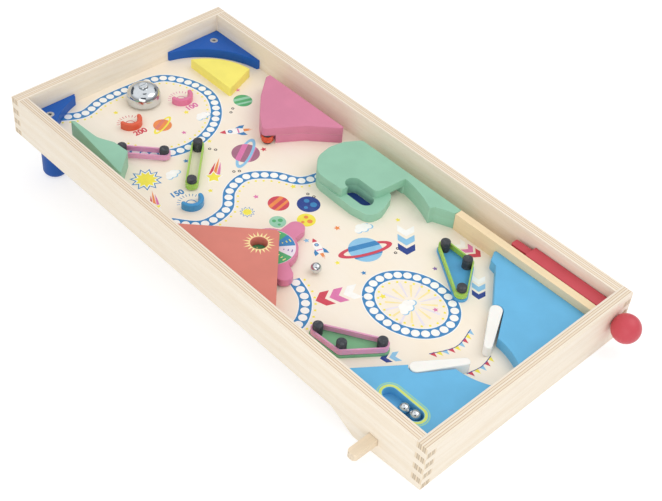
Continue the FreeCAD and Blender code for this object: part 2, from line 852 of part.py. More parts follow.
def make_bell():
    """Chrome bell: a base cup, a domed gong over it and the bolt that holds both."""
    bottom = Vector(bell_at[0], bell_at[1], 0)

    def turned(points):
        wire = outline_upright(points)
        return Part.Face(wire).revolve(Vector(), Vector(0, 0, 1), 360)

    hole = bell_bolt_radius
    skin = bell_shell
    lip = floor + bell_lip_height
    top = floor + bell_height
    crown = bell_crown_radius
    slope = math.atan(2 * bell_crown_drop / crown)
    rounding = (bell_radius - crown) / (1 - math.sin(slope))
    axis_x = bell_radius - rounding
    axis_z = top - bell_crown_drop - rounding * math.cos(slope)

    def shoulder(radius, share):
        angle = share * (math.pi / 2 - slope)
        return (axis_x + radius * math.cos(angle), axis_z + radius * math.sin(angle))

    gong = turned([
        (hole, top - skin),
        (hole, top),
        Via(crown / 2, top - bell_crown_drop / 4),
        shoulder(rounding, 1),
        Via(*shoulder(rounding, 0.5)),
        shoulder(rounding, 0),
        (bell_radius, lip),
        (bell_radius - skin, lip),
        shoulder(rounding - skin, 0),
        Via(*shoulder(rounding - skin, 0.5)),
        shoulder(rounding - skin, 1),
        Via(crown / 2, top - skin - bell_crown_drop / 4),
    ])
    b = bell_base_radius
    rim = lip + 1.5
    base = turned([
        (hole, floor),
        (b - 2.2, floor),
        Via(b - 0.6, floor + 1.3),
        (b, floor + 3.5),
        (b, rim),
        (b - skin, rim),
        (b - skin, floor + 3.5),
        Via(b - 1.8, floor + 2.0),
        (b - 2.8, floor + skin),
        (hole + 3.0, floor + skin),
        (hole + 1.4, top - 3 * skin),
        (hole + 1.4, top - 1.3 * skin),
        (hole, top - 1.3 * skin),
    ])
    shank = Part.makeCylinder(bell_bolt_radius, top - underside, Vector(0, 0, underside))
    head = Part.makeCylinder(5.2, 2.2, Vector(0, 0, top))
    slot = Part.makeBox(12, 1.2, 1.2, Vector(-6, -0.6, top + 1.2))
    nut = Part.makeCylinder(3.6, 3.0, Vector(0, 0, underside - 3.0))
    bolt = shank.fuse([eased(head, top + 2.2, 0.8), nut]).removeSplitter().cut(slot)
    made = {"bell_gong": gong, "bell_base": base, "bell_bolt": bolt}
    for shape in made.values():
        shape.translate(bottom)
    return made


def outline_upright(points):
    """Closed wire in the upright plane y = 0 from (radius, height) steps."""
    wire = outline(*points)
    return wire.rotated(Vector(), Vector(1, 0, 0), 90)


def make_balls():
    """Free ball on the floor and two stored in the pocket."""
    floor_z = floor + ball_radius
    pocket_z = single_top - pocket_depth + ball_radius
    return {
        "ball_in_play": Part.makeSphere(ball_radius, Vector(*free_ball_at, floor_z)),
        "ball_stored_near": Part.makeSphere(ball_radius, Vector(*stored_near_at, pocket_z)),
        "ball_stored_far": Part.makeSphere(ball_radius, Vector(*stored_far_at, pocket_z)),
    }


def make_feet():
    """Blue far feet, rounded at the table, and the socket-headed bolts that hold them."""
    feet, bolts = [], []
    angle = math.radians(tilt)
    table_here = -near_wall_height - table_rise * foot_left[1]
    inner = foot_radius - foot_edge
    bottom = table_here + foot_edge / math.cos(angle) + inner * math.tan(angle) - foot_edge
    for at in (foot_left, foot_right):
        foot = peg(at, foot_radius, bottom, underside)
        foot = eased(foot, bottom, foot_edge)
        top = single_top
        shank = peg(at, foot_bolt_radius, underside - foot_bolt_grip, top)
        head = peg(at, foot_bolt_head_radius, top - foot_bolt_head, top)
        socket = slab(outline(*[turn_point(at, hex_radius, 60 * i) for i in range(6)]), top - 2.5, top)
        bolt = shank.fuse(head).removeSplitter()
        feet.append(foot.cut(bolt))
        bolts.append(bolt.cut(socket))
    return {"feet": Part.makeCompound(feet), "foot_bolts": Part.makeCompound(bolts)}


def build():
    """Every piece in the board frame, by node name."""
    pieces = {}
    pieces.update(make_walls())
    pieces["playfield"] = make_playfield()
    pieces["lane_divider"] = make_divider()
    pieces.update(make_corner_blocks())
    pieces["yellow_block"] = make_yellow_block()
    pieces["pink_block_base"], pieces["pink_block_top"] = make_pink_block()
    pieces.update(make_tunnel_block())
    pieces["wedge_block"] = make_wedge_block()
    pieces.update(make_spinner_housing())
    pieces.update(make_spinner())
    pieces.update(make_aprons())
    flippers, pin_at = make_flippers()
    pieces.update(flippers)
    pieces.update(make_levers(pin_at))
    pieces.update(make_launcher())
    pieces["cup_orange"] = make_cup(cup_orange_at)
    pieces["cup_pink"] = make_cup(cup_pink_at)
    pieces["cup_blue"] = make_cup(cup_blue_at)
    pieces.update(make_posts_and_bands())
    pieces.update(make_bell())
    pieces.update(make_feet())
    pieces.update(make_balls())
    pieces["block_screws"] = Part.makeCompound(screws(0))
    return pieces


def stand(shape, shift=Vector()):
    """Shape tipped from the board frame to the table, then shifted."""
    placed = shape.copy()
    placed.rotate(Vector(), Vector(1, 0, 0), tilt)
    placed.translate(shift)
    return placed


def ground_shift():
    """Shift that puts the table at z = 0 and the middle of the whole plan at the origin."""
    knob = stand(Part.Vertex(lane_centre, -knob_gap - knob_flat, rod_z))
    near_y = knob.BoundBox.YMin - knob_radius
    far_corner = stand(Part.Vertex(0, board_length, -far_wall_height))
    far_y = far_corner.BoundBox.YMax
    table = stand(Part.Vertex(0, 0, -near_wall_height)).BoundBox.ZMin
    return Vector(-board_width / 2, -(near_y + far_y) / 2, -table)


def main():
    """Write one STEP file for each piece."""
    os.makedirs("parts", exist_ok=True)
    shift = ground_shift()
    for name, shape in build().items():
        stand(shape, shift).exportStep("parts/" + name + ".step")


if __name__ == "__main__":
    main()
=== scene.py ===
"""Finishes, printing and soft light for a wooden tabletop bagatelle game."""
import json
import math

import bmesh
import bpy
from mathutils import Matrix, Vector


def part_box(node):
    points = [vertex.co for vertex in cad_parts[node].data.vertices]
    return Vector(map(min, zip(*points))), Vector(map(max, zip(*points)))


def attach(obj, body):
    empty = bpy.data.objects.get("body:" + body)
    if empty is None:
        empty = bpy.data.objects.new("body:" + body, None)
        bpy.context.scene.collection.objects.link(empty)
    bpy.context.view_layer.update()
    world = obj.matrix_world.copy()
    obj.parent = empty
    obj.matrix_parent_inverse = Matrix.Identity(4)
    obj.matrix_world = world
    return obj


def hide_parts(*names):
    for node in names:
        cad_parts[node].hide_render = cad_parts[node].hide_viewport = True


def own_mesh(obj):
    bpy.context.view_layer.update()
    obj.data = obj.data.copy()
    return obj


bl_info = {
    "name": "Bagatelle Board Game",
    "version": (1, 0, 0),
    "blender": (4, 5, 0),
    "location": "View3D > Sidebar > Bagatelle",
    "description": "Finishes, printing and soft light for a tabletop bagatelle game",
    "category": "Object",
}

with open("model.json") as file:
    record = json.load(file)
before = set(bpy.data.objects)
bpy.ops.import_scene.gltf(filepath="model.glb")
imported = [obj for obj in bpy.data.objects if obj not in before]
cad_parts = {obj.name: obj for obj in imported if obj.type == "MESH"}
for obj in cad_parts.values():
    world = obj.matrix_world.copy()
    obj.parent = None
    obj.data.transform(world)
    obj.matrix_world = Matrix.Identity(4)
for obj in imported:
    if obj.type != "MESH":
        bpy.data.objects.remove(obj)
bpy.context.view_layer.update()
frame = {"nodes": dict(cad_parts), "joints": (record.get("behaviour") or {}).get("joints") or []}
nodes = frame["nodes"]
joints = {joint["name"]: joint for joint in frame["joints"]}

# The board's own millimetres: x across, y away from the player, z square to the playfield
MM = 0.001
WALL = 12.0
board_up = Vector(joints["spinner_spin"]["axis"]).normalized()
SLOPE = math.atan2(-board_up.y, board_up.z)
near_low, near_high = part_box("near_wall")
board_origin = Vector((near_low.x, near_low.y, near_high.z - WALL * MM * math.sin(SLOPE)))
BOARD = Matrix.Translation(board_origin) @ Matrix.Rotation(SLOPE, 4, "X") @ Matrix.Scale(MM, 4)
TO_BOARD = BOARD.inverted()


def span(node):
    """Lowest and highest corners of a node, in board millimetres."""
    points = [TO_BOARD @ vertex.co for vertex in nodes[node].data.vertices]
    low = Vector([min(point[i] for point in points) for i in range(3)])
    high = Vector([max(point[i] for point in points) for i in range(3)])
    return low, high


def board_place(point):
    """Plan place, in board millimetres, of a point of the frame."""
    return (TO_BOARD @ Vector(point)).to_2d()


# Heights and places from the frame, then print and camera places in the board's millimetres
FIELD = span("playfield")[1].z
APRON_TOP = span("apron_left")[1].z
COVER_TOP = span("spinner_cover")[1].z
DIAL_TOP = span("spinner_dial")[1].z
LANE_LEFT = span("lane_divider")[1].x
SPINNER = board_place(joints["spinner_spin"]["pos_m"])
WINDOW = Vector((63.0, 279.1))
WINDOW_RADIUS = 8.4
POCKET = Vector((33.2, 57.0))
POCKET_SIZE = (14.4, 45.0)
HOOK_SLOT = Vector((LANE_LEFT - 55.5, 275.75))
HOOK_SLOT_SIZE = (17.0, 35.5)
PLUG = Vector((274.0, -22.0))
PLUG_SIZE = (2.2, 2.9)
PLUG_DEPTHS = (0.4, -0.04)
CAMERA_AT = Vector((-528.65, -356.93, 812.20))
CAMERA_AIM = Vector((0.53369, 0.48941, -0.68967))
CAMERA_UP = Vector((0.43815, 0.53752, 0.72049))
LENS = 68.31


def linear(hex_code):
    """Linear colour from a hex code."""
    channels = [int(hex_code[i:i + 2], 16) / 255 for i in (1, 3, 5)]
    return tuple(c / 12.92 if c <= 0.04045 else ((c + 0.055) / 1.055) ** 2.4 for c in channels)


def colour(label, description, hex_code):
    """Colour setting with its default."""
    return bpy.props.FloatVectorProperty(
        name=label, description=description, default=linear(hex_code),
        subtype="COLOR", size=3, min=0.0, max=1.0)


def length(label, description, millimetres):
    """Length setting with its default, kept in metres."""
    return bpy.props.FloatProperty(
        name=label, description=description, default=millimetres * MM,
        min=0.0, subtype="DISTANCE", unit="LENGTH", precision=5)


class BagatellePaints(bpy.types.PropertyGroup):
    """Colours of the wood, the paints and the coloured parts"""
    veneer: colour("Veneer", "Light tone of the birch ply", "#F6EDDE")
    veneer_grain: colour("Veneer grain", "Dark tone of the birch ply", "#E9D9BF")
    ply_line: colour("Ply line", "Glue lines on the ply's edges", "#B88A5C")
    field: colour("Playfield", "Ground colour printed on the floor board", "#FBEFDD")
    rail: colour("Rail", "Lane divider", "#F5DFB8")
    lever: colour("Lever", "Push levers", "#F2E1C8")
    dark_blue: colour("Dark blue", "Far corner blocks", "#0E59B4")
    yellow: colour("Yellow", "Block of the curved track", "#F9ED74")
    pink: colour("Pink", "Two-layer block", "#D885A3")
    green: colour("Green", "Tunnel block and wedge", "#96C8AF")
    coral: colour("Coral", "Spinner housing", "#D98376")
    light_blue: colour("Light blue", "Aprons", "#69B8E5")
    wheel: colour("Wheel", "Three-lobed spinner", "#DC86A8")
    red: colour("Red", "Launcher cover, striker and knob", "#C94C58")
    plate_green: colour("Plate green", "Left bumper's plate", "#7DB88B")
    plate_blue: colour("Plate blue", "Right bumper's plate", "#56A6D8")
    # The feet's blue is set darker than the corner blocks' blue: painted shade, for the shadow under the
    # tray.
    foot: colour("Foot", "Far feet", "#0B4FA0")
    cup_orange: colour("Orange cup", "Cup worth 200", "#E0603F")
    cup_pink: colour("Pink cup", "Cup worth 100", "#E0799F")
    cup_blue: colour("Blue cup", "Cup worth 150", "#3B92C9")
    band_pink: colour("Pink band", "Rubber bands", "#E2A2C6")
    band_green: colour("Green band", "Rubber bands", "#A2CE58")
    ring: colour("Ring", "Ring bumper", "#D8532F")
    post: colour("Posts", "Rubber-capped posts", "#3A3D44")
    flipper: colour("Flippers", "White plastic", "#F7F6F2")


class BagatelleSizes(bpy.types.PropertyGroup):
    """Sizes of what is printed, wound or softened here"""
    edge: length("Edge softness", "Rounding along the ply walls' edges", 0.4)
    paint_edge: length("Painted edge", "Rounding along the painted blocks' edges", 0.55)
    ink: length("Ink", "Thickness of one printed layer", 0.03)
    ribbon: length("Ribbon", "Width of the printed beaded ribbons", 12.0)
    bead: length("Bead", "Radius of the white beads", 4.2)
    bead_pitch: length("Bead pitch", "Distance between beads", 9.6)
    spring_wire: length("Spring wire", "Thickness of the springs' wire", 0.9)
    figures: length("Figures", "Height of the printed numbers", 7.4)


class NodeTree:
    """Short calls that add and link the nodes of a material or a world."""

    def __init__(self, owner, output_kind):
        owner.use_nodes = True
        self.tree = owner.node_tree
        self.tree.nodes.clear()
        self.surface = self.add(output_kind).inputs["Surface"]

    def add(self, kind, **values):
        """New node; capitalised names are its sockets, the others its options."""
        node = self.tree.nodes.new(kind)
        for name, value in values.items():
            if name[0].isupper():
                self.feed(node.inputs[name.replace("_", " ")], value)
            else:
                setattr(node, name, value)
        return node

    def feed(self, socket, value):
        """Link an output to a socket, or set the socket's own value."""
        if isinstance(value, bpy.types.NodeSocket):
            self.tree.links.new(value, socket)
        elif socket.type == "RGBA" and len(value) == 3:
            socket.default_value = (*value, 1.0)
        else:
            socket.default_value = value

    def chain(self, kind, *terms, **options):
        """New node whose first sockets take the terms in turn."""
        node = self.add(kind, **options)
        for socket, term in zip(node.inputs, terms):
            self.feed(socket, term)
        return node.outputs[0]

    def math(self, operation, *terms):
        """One step of arithmetic."""
        return self.chain("ShaderNodeMath", *terms, operation=operation)

    def split(self, vector):
        """The x, y and z of a vector."""
        return dict(zip("xyz", self.add("ShaderNodeSeparateXYZ", Vector=vector).outputs))

    def ramp(self, value, stops):
        """Colour read off a ramp of (place, colour) stops."""
        node = self.add("ShaderNodeValToRGB")
        self.feed(node.inputs[0], value)
        elements = node.color_ramp.elements
        while len(elements) < len(stops):
            elements.new(0.5)
        for element, (place, tone) in zip(elements, stops):
            element.position = place
            element.color = (*tone, 1.0)
        return node.outputs[0]


class Finish(NodeTree):
    """One material: a principled shader, and short calls for the patterns that feed it."""

    def __init__(self, name, **shader_values):
        self.material = bpy.data.materials.new(name)
        super().__init__(self.material, "ShaderNodeOutputMaterial")
        self.shader = self.add("ShaderNodeBsdfPrincipled", **shader_values)
        self.feed(self.surface, self.shader.outputs[0])
        coordinates = self.add("ShaderNodeTexCoord").outputs
        mapping = self.add("ShaderNodeMapping", Vector=coordinates["Object"], Scale=(1 / MM,) * 3,
                           Rotation=(-SLOPE, 0, 0), Location=TO_BOARD.translation)
        self.place = mapping.outputs[0]
        self.at = self.split(self.place)
        self.normal = self.split(coordinates["Normal"])

    def fade(self, value, start, end):
        """Smooth step from 0 at start to 1 at end."""
        return self.add("ShaderNodeMapRange", interpolation_type="SMOOTHSTEP",
                        Value=value, From_Min=start, From_Max=end).outputs[0]

    def scale(self, value, low, high):
        """Noise between 0 and 1 stretched to run from low to high."""
        return self.add("ShaderNodeMapRange", Value=value, To_Min=low, To_Max=high).outputs[0]

    def noise(self, size, detail=3.0):
        """Noise with spots of a size in millimetres, one number or one for each direction."""
        sizes = size if hasattr(size, "__len__") else (size, size, size)
        inverse = [1 / s for s in sizes]
        stretched = self.chain("ShaderNodeVectorMath", self.place, inverse, operation="MULTIPLY")
        return self.add("ShaderNodeTexNoise", Vector=stretched, Scale=1.0, Detail=detail).outputs[0]

    def spots(self, size, detail, start, end):
        """Noise of which only the spots above start show."""
        return self.fade(self.noise(size, detail), start, end)

    def uneven(self, size, low, high, detail=3.0):
        """Value that wanders between low and high."""
        return self.scale(self.noise(size, detail), low, high)

    def facing(self, axis, start, end):
        """1 on the faces square to an axis, fading to 0 on the others."""
        return self.fade(self.math("ABSOLUTE", self.normal[axis]), start, end)

    def mix(self, factor, first, second):
        """Colour between two others."""
        node = self.add("ShaderNodeMix", data_type="RGBA")
        for index, value in ((0, factor), (6, first), (7, second)):
            self.feed(node.inputs[index], value)
        return node.outputs[2]

    def tint(self, base, mask, share, tone):
        """Base colour with a tone laid over it where the mask is, to a share."""
        return self.mix(self.math("MULTIPLY", mask, share), base, tone)

    def done(self, tone, roughness, height, depth):
        """The material, with its colour, roughness and a relief of a depth in millimetres."""
        relief = self.add("ShaderNodeBump", Distance=depth * MM, Height=height).outputs[0]
        for socket, value in (("Base Color", tone), ("Roughness", roughness), ("Normal", relief)):
            self.feed(self.shader.inputs[socket], value)
        return self.material


def shade(tone, factor):
    """Colour made darker or lighter."""
    return tuple(min(1.0, c * factor) for c in tone)


def blended(first, second, share):
    """Colour between two colours."""
    return tuple(a + (b - a) * share for a, b in zip(first, second))


GRAIN_ALONG = {
    "x": ((140.0, 7.0, 7.0), (26.0, 0.8, 0.8), (5.0, 0.3, 0.3)),
    "y": ((7.0, 140.0, 7.0), (0.8, 26.0, 0.8), (0.3, 5.0, 0.3)),
}


def wood_grain(finish, along, light, dark):
    """Colour of long grain and the height that its pores give."""
    broad_size, fine_size, pore_size = GRAIN_ALONG[along]
    bands = finish.spots(broad_size, 4.0, 0.34, 0.68)
    fine = finish.noise(fine_size)
    pores = finish.spots(pore_size, 1.0, 0.59, 0.72)
    tone = finish.tint(light, bands, 0.42, dark)
    tone = finish.tint(tone, finish.fade(fine, 0.5, 0.8), 0.4, shade(dark, 0.96))
    tone = finish.tint(tone, pores, 0.26, shade(dark, 0.78))
    depth = finish.math("MULTIPLY", pores, 0.5)
    return tone, finish.math("SUBTRACT", finish.math("MULTIPLY", fine, 0.6), depth)


PLY_LAYERS = 5
PLY_LINE_SHARE = 0.03


def ply_edge(finish, across, start, light, dark, line):
    """Colour of a ply wall's edge: layers of long and end grain between thin glue lines."""
    depth = finish.math("DIVIDE", finish.math("SUBTRACT", finish.at[across], start), WALL)
    depth = finish.math("ADD", depth, finish.uneven(30.0, -0.02, 0.02, 2.0))
    stops = []
    for i in range(PLY_LAYERS):
        tone = light if i % 2 == 0 else dark
        begin, end = i / PLY_LAYERS, (i + 1) / PLY_LAYERS
        stops.append((begin + PLY_LINE_SHARE, tone))
        stops.append((end - PLY_LINE_SHARE, tone))
        if i < PLY_LAYERS - 1:
            stops.append((end, line))
    return finish.ramp(depth, stops)


def birch_ply(name, paints, along, across, start):
    """Clear-lacquered birch ply; its edges show the layers across the sheet."""
    finish = Finish(name, Specular_IOR_Level=0.35)
    grain, line = paints.veneer_grain, paints.ply_line
    face, height = wood_grain(finish, along, paints.veneer, grain)
    warm = blended(paints.veneer, line, 0.09)
    specks = finish.spots(0.5, 2.0, 0.56, 0.72)
    rim = ply_edge(finish, across, start, warm, blended(warm, grain, 0.6), line)
    rim = finish.tint(rim, specks, 0.16, shade(grain, 0.8))
    end = ply_edge(finish, across, start, grain, shade(grain, 0.8), shade(line, 0.6))
    end = finish.tint(end, specks, 0.16, shade(grain, 0.8 * 0.8))
    edge = finish.mix(finish.facing(along, 0.5, 0.85), rim, end)
    tone = finish.mix(finish.facing(across, 0.4, 0.85), edge, face)
    return finish.done(tone, finish.uneven(6.0, 0.46, 0.62), height, 0.05)


def printed_ply(paints):
    """Floor board: cream print with the grain just showing on top, plain ply beneath."""
    finish = Finish("printed_ply", Specular_IOR_Level=0.4)
    grain, height = wood_grain(finish, "y", paints.veneer, paints.veneer_grain)
    pale = shade(blended(paints.field, (1, 1, 1), 0.25), 0.985)
    ground = finish.mix(finish.spots(60.0, 2.0, 0.3, 0.7), paints.field, pale)
    on_top = finish.fade(finish.normal["z"], 0.2, 0.8)
    tone = finish.mix(on_top, grain, finish.mix(0.16, ground, grain))
    return finish.done(tone, finish.uneven(4.0, 0.42, 0.56), height, 0.02)


def plain_wood(name, light, dark, along):
    """Solid wood, lightly oiled, with end grain on the faces across it."""
    finish = Finish(name, Specular_IOR_Level=0.35)
    grain, height = wood_grain(finish, along, light, dark)
    rings = finish.spots(2.2, 3.0, 0.4, 0.6)
    end = finish.mix(rings, shade(dark, 0.92), blended(light, dark, 0.6))
    tone = finish.mix(finish.facing(along, 0.6, 0.9), grain, end)
    return finish.done(tone, finish.uneven(5.0, 0.48, 0.64), height, 0.06)


def painted_wood(name, tone, roughness=0.46):
    """Sprayed paint on smooth wood: slight mottling, fine orange peel and a soft sheen."""
    finish = Finish(name, Specular_IOR_Level=0.32, Coat_Weight=0.06, Coat_Roughness=0.3)
    mottled = finish.mix(finish.spots(26.0, 3.0, 0.3, 0.7), shade(tone, 0.965), shade(tone, 1.03))
    fibres = finish.spots((0.5, 9.0, 2.0), 2.0, 0.55, 0.8)
    peel = finish.noise(0.9, 2.0)
    sheen = finish.scale(peel, roughness - 0.07, roughness + 0.09)
    height = finish.math("ADD", peel, finish.math("MULTIPLY", fibres, 0.4))
    return finish.done(finish.tint(mottled, fibres, 0.14, shade(tone, 0.9)), sheen, height, 0.03)


def paint_wear_and_highlight(name, tone, paints):
    """Paint, and the same paint lightened towards the wood for a block's rounded edges: partly wear, partly
    painted highlight.
    """
    # The lighter edge tone is partly painted highlight along the rounded edges, partly wear where the wood
    # shows.
    worn_highlit_tone = blended(tone, paints.veneer, 0.2)
    return [painted_wood(name + "_paint", tone), painted_wood(name + "_edge", worn_highlit_tone, 0.5)]


def moulded_plastic(name, tone, roughness):
    """Injection-moulded plastic with a faint satin texture."""
    finish = Finish(name, Specular_IOR_Level=0.5, Subsurface_Weight=0.06, Subsurface_Scale=0.002)
    clouded = finish.mix(finish.spots(18.0, 2.0, 0.3, 0.7), shade(tone, 0.975), shade(tone, 1.015))
    grain = finish.noise(0.35, 1.0)
    return finish.done(clouded, finish.scale(grain, roughness - 0.05, roughness + 0.08), grain, 0.008)


def rubber(name, tone, roughness=0.5, softness=0.0):
    """Moulded rubber with fine pores and a powdery bloom."""
    finish = Finish(name, Specular_IOR_Level=0.4, Subsurface_Weight=softness, Subsurface_Scale=0.0025)
    bloom = finish.spots(3.2, 3.0, 0.45, 0.75)
    dusty = finish.tint(tone, bloom, 0.3, blended(tone, (0.8, 0.8, 0.8), 0.25))
    pores = finish.noise(0.45, 2.0)
    return finish.done(dusty, finish.scale(pores, roughness - 0.06, roughness + 0.14), pores, 0.03)


def bright_metal(name, tone, roughness, streak=0.0):
    """Polished or plated steel with faint handling marks."""
    finish = Finish(name, Metallic=1.0, Specular_IOR_Level=0.5)
    smears = finish.spots((9.0, 3.0, 5.0), 3.0, 0.45, 0.8)
    dulled = finish.scale(smears, roughness, 1.5 * roughness + streak)
    handled = finish.mix(smears, tone, shade(tone, 0.93))
    return finish.done(handled, dulled, finish.noise(1.4, 2.0), 0.002 + 0.01 * streak)


def printing_ink(name, tone):
    """Thin matt ink that lets a little of the grain through."""
    finish = Finish(name, Specular_IOR_Level=0.4)
    grain = finish.spots((0.7, 24.0, 0.7), 3.0, 0.5, 0.8)
    washed = finish.mix(finish.spots(8.0, 3.0, 0.35, 0.7), shade(tone, 0.965), shade(tone, 1.03))
    thin = finish.tint(washed, grain, 0.2, blended(tone, (1, 0.97, 0.9), 0.3))
    return finish.done(thin, finish.uneven(1.2, 0.42, 0.58, 2.0), grain, 0.008)


def dress(material, *members):
    """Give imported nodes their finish."""
    for node in members:
        for holder in nodes[node].material_slots:
            holder.material = material


def make_piece(name, points, faces, material, body, slot, smooth=False):
    """New mesh piece from points in board millimetres, riding on a body."""
    mesh = bpy.data.meshes.new(name)
    mesh.from_pydata([BOARD @ Vector(point) for point in points], [], faces)
    mesh.validate()
    mesh.materials.append(material)
    mesh.polygons.foreach_set("use_smooth", [smooth] * len(mesh.polygons))
    piece = bpy.data.objects.new(name, mesh)
    bpy.context.scene.collection.objects.link(piece)
    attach(piece, body)
    return piece


def tube_faces(first, rows, sides, closed=False):
    """Faces round rows of points, with a cap at each end unless the rows close on themselves."""
    faces = []
    for i in range(rows if closed else rows - 1):
        here, there = first + i * sides, first + (i + 1) % rows * sides
        for k in range(sides):
            after = (k + 1) % sides
            faces.append([here + k, here + after, there + after, there + k])
    if not closed:
        faces.append([first + k for k in reversed(range(sides))])
        faces.append([first + (rows - 1) * sides + k for k in range(sides)])
    return faces


def welded(mesh, distance):
    """Editable copy of a mesh with its doubled points merged."""
    shape = bmesh.new()
    shape.from_mesh(mesh)
    bmesh.ops.remove_doubles(shape, verts=shape.verts, dist=distance)
    return shape


def taken_apart(shape, place):
    """Points, moved to a place, and faces of an edited mesh, which is then freed."""
    shape.verts.index_update()
    points = [place @ vertex.co for vertex in shape.verts]
    faces = [[vertex.index for vertex in face.verts] for face in shape.faces]
    shape.free()
    return points, faces


# Faces that turn less than FLAT are joined, edges past SHARP rounded, those under FACET shaded smooth
FLAT = math.radians(1)
FACET = math.radians(25)
SHARP = math.radians(30)


def softened(node, width, materials, slot, body="board"):
    """Copy of a node with its edges slightly rounded, which stands for it."""
    shape = welded(nodes[node].data, 1e-6)
    bmesh.ops.dissolve_limit(shape, angle_limit=FLAT, verts=shape.verts, edges=shape.edges)
    for face in shape.faces:
        face.material_index = 0
    sharp = [edge for edge in shape.edges if edge.is_manifold and edge.calc_face_angle(0) > SHARP]
    bmesh.ops.bevel(shape, geom=sharp, offset=width, segments=2, profile=0.6, affect="EDGES",
                    clamp_overlap=True, material=len(materials) - 1)
    bmesh.ops.triangulate(shape, faces=[face for face in shape.faces if len(face.verts) > 4])
    edges = [face.material_index for face in shape.faces]
    points, faces = taken_apart(shape, TO_BOARD)
    piece = make_piece(node + "_soft", points, faces, materials[0], body, slot, smooth=True)
    for material in materials[1:]:
        piece.data.materials.append(material)
    piece.data.polygons.foreach_set("material_index", edges)
    piece.data.set_sharp_from_angle(angle=FACET)
    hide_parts(node)
    return piece


COIL_STEPS = 28
WIRE_SIDES = 10


def coil(node, axis, turns, wire, material):
    """Wound spring in the place of a packed one, along x or y of the board."""
    low, high = span(node)
    side = "xy".index(axis)
    across = 1 - side
    middle = (low + high) / 2
    radius = (high[across] - low[across]) / 2 - wire / 2
    run = high[side] - low[side] - wire
    points = []
    count = turns * COIL_STEPS
    for i in range(count + 1):
        angle = 2 * math.pi * i / COIL_STEPS
        for k in range(WIRE_SIDES):
            around = 2 * math.pi * k / WIRE_SIDES
            reach = radius + wire / 2 * math.cos(around)
            point = [0.0, 0.0, middle.z + reach * math.sin(angle)]
            point[across] = middle[across] + reach * math.cos(angle)
            point[side] = low[side] + wire / 2 + run * i / count + wire / 2 * math.sin(around)
            points.append(point)
    faces = tube_faces(0, count + 1, WIRE_SIDES)
    piece = make_piece(node + "_coil", points, faces, material, "board", "zinc_steel", smooth=True)
    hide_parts(node)
    return piece, low, high


def crush(piece):
    """Give a spring its own copy of its mesh."""
    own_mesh(piece)


def turned(points, at, degrees=0.0, size=1.0):
    """Plan points scaled, turned and moved to a place."""
    angle = math.radians(degrees)
    cos, sin = math.cos(angle), math.sin(angle)
    return [(at[0] + size * (x * cos - y * sin), at[1] + size * (x * sin + y * cos)) for x, y in points]


def oval(at, across, along=None, degrees=0.0, count=36):
    """Circle or ellipse."""
    along = across if along is None else along
    steps = [2 * math.pi * i / count for i in range(count)]
    return turned([(across * math.cos(a), along * math.sin(a)) for a in steps], at, degrees)


def star(at, radius, points, waist, degrees):
    """Star whose inner corners lie at a share of its radius."""
    corners = []
    for i in range(2 * points):
        reach = radius if i % 2 == 0 else radius * waist
        angle = math.pi * i / points
        corners.append((reach * math.cos(angle), reach * math.sin(angle)))
    return turned(corners, at, degrees)


CLOUD_ROUNDS = (
    (-0.62, -0.08, 0.36), (-0.2, 0.2, 0.46), (0.32, 0.16, 0.42), (0.66, -0.1, 0.32), (0.0, -0.16, 0.4),
)


def puff(at, size, degrees):
    """Cloud outline: the reach of five overlapping rounds, seen from the middle."""
    corners = []
    for dx, dy in oval((0, 0), 1, count=60):
        reach = 0.2
        for x, y, r in CLOUD_ROUNDS:
            along = x * dx + y * dy
            gap = r * r - (x * x + y * y - along * along)
            if gap > 0:
                reach = max(reach, along + math.sqrt(gap))
        corners.append((reach * dx, reach * dy))
    return turned(corners, at, degrees, size)


def chevron(at, width, depth, thickness, degrees):
    """Chevron that points along an angle."""
    half = width / 2
    front = [(0, -half), (depth, 0), (0, half)]
    back = [(x - thickness, y) for x, y in reversed(front)]
    return turned(front + back, at, degrees)


def arc(radius, start, end, count):
    """Points along an arc, angles in degrees."""
    angles = [math.radians(start + (end - start) * i / count) for i in range(count + 1)]
    return [(radius * math.cos(angle), radius * math.sin(angle)) for angle in angles]


def slice_of(at, inner, outer, start, end):
    """Part of a ring between two angles."""
    count = max(2, int(abs(end - start) / 5))
    return turned(arc(outer, start, end, count) + arc(inner, end, start, count), at)


def band_of(at, radius, low, high, degrees):
    """Stripe across a disc, between two shares of its radius."""
    start, end = math.degrees(math.asin(low)), math.degrees(math.asin(high))
    return turned(arc(radius, start, end, 6) + arc(radius, 180 - end, 180 - start, 6), at, degrees)


def stadium(at, width, whole):
    """Round-ended slot outline along the board."""
    half = (whole - width) / 2
    far = [(x, y + half) for x, y in arc(width / 2, 0, 180, 24)]
    near = [(x, y - half) for x, y in arc(width / 2, 180, 360, 24)]
    return turned(far + near, at)


def smooth_path(guides, closed=False, steps=14):
    """Smooth line through a few guide points."""
    count = len(guides)
    guides = [Vector(guide) for guide in guides]
    made = []
    for i in range(count if closed else count - 1):
        picks = [k % count if closed else min(max(k, 0), count - 1) for k in range(i - 1, i + 3)]
        a, b, c, d = [guides[k] for k in picks]
        for step in range(steps):
            t = step / steps
            made.append(0.5 * (2 * b + (c - a) * t + (2 * a - 5 * b + 4 * c - d) * t * t
                               + (3 * b - a - 3 * c + d) * t ** 3))
    if not closed:
        made.append(guides[-1])
    return made


def beside(path, offset, closed=False):
    """Line at a distance to the left of a path."""
    made = []
    count = len(path)
    for i, point in enumerate(path):
        before = path[i - 1] if closed or i else point
        after = path[(i + 1) % count] if closed or i < count - 1 else point
        way = (after - before).normalized()
        made.append(point + Vector((-way.y, way.x)) * offset)
    return made


def paced(path, pitch, closed=False):
    """Points at an even pitch along a path."""
    line = path + [path[0]] if closed else path
    total = sum((b - a).length for a, b in zip(line, line[1:]))
    count = max(1, round(total / pitch))
    pitch = total / count
    made, due, walked = [], pitch / 2, 0.0
    for a, b in zip(line, line[1:]):
        step = (b - a).length
        while due <= walked + step and len(made) < count:
            made.append(a + (b - a) * ((due - walked) / step))
            due += pitch
        walked += step
    return made


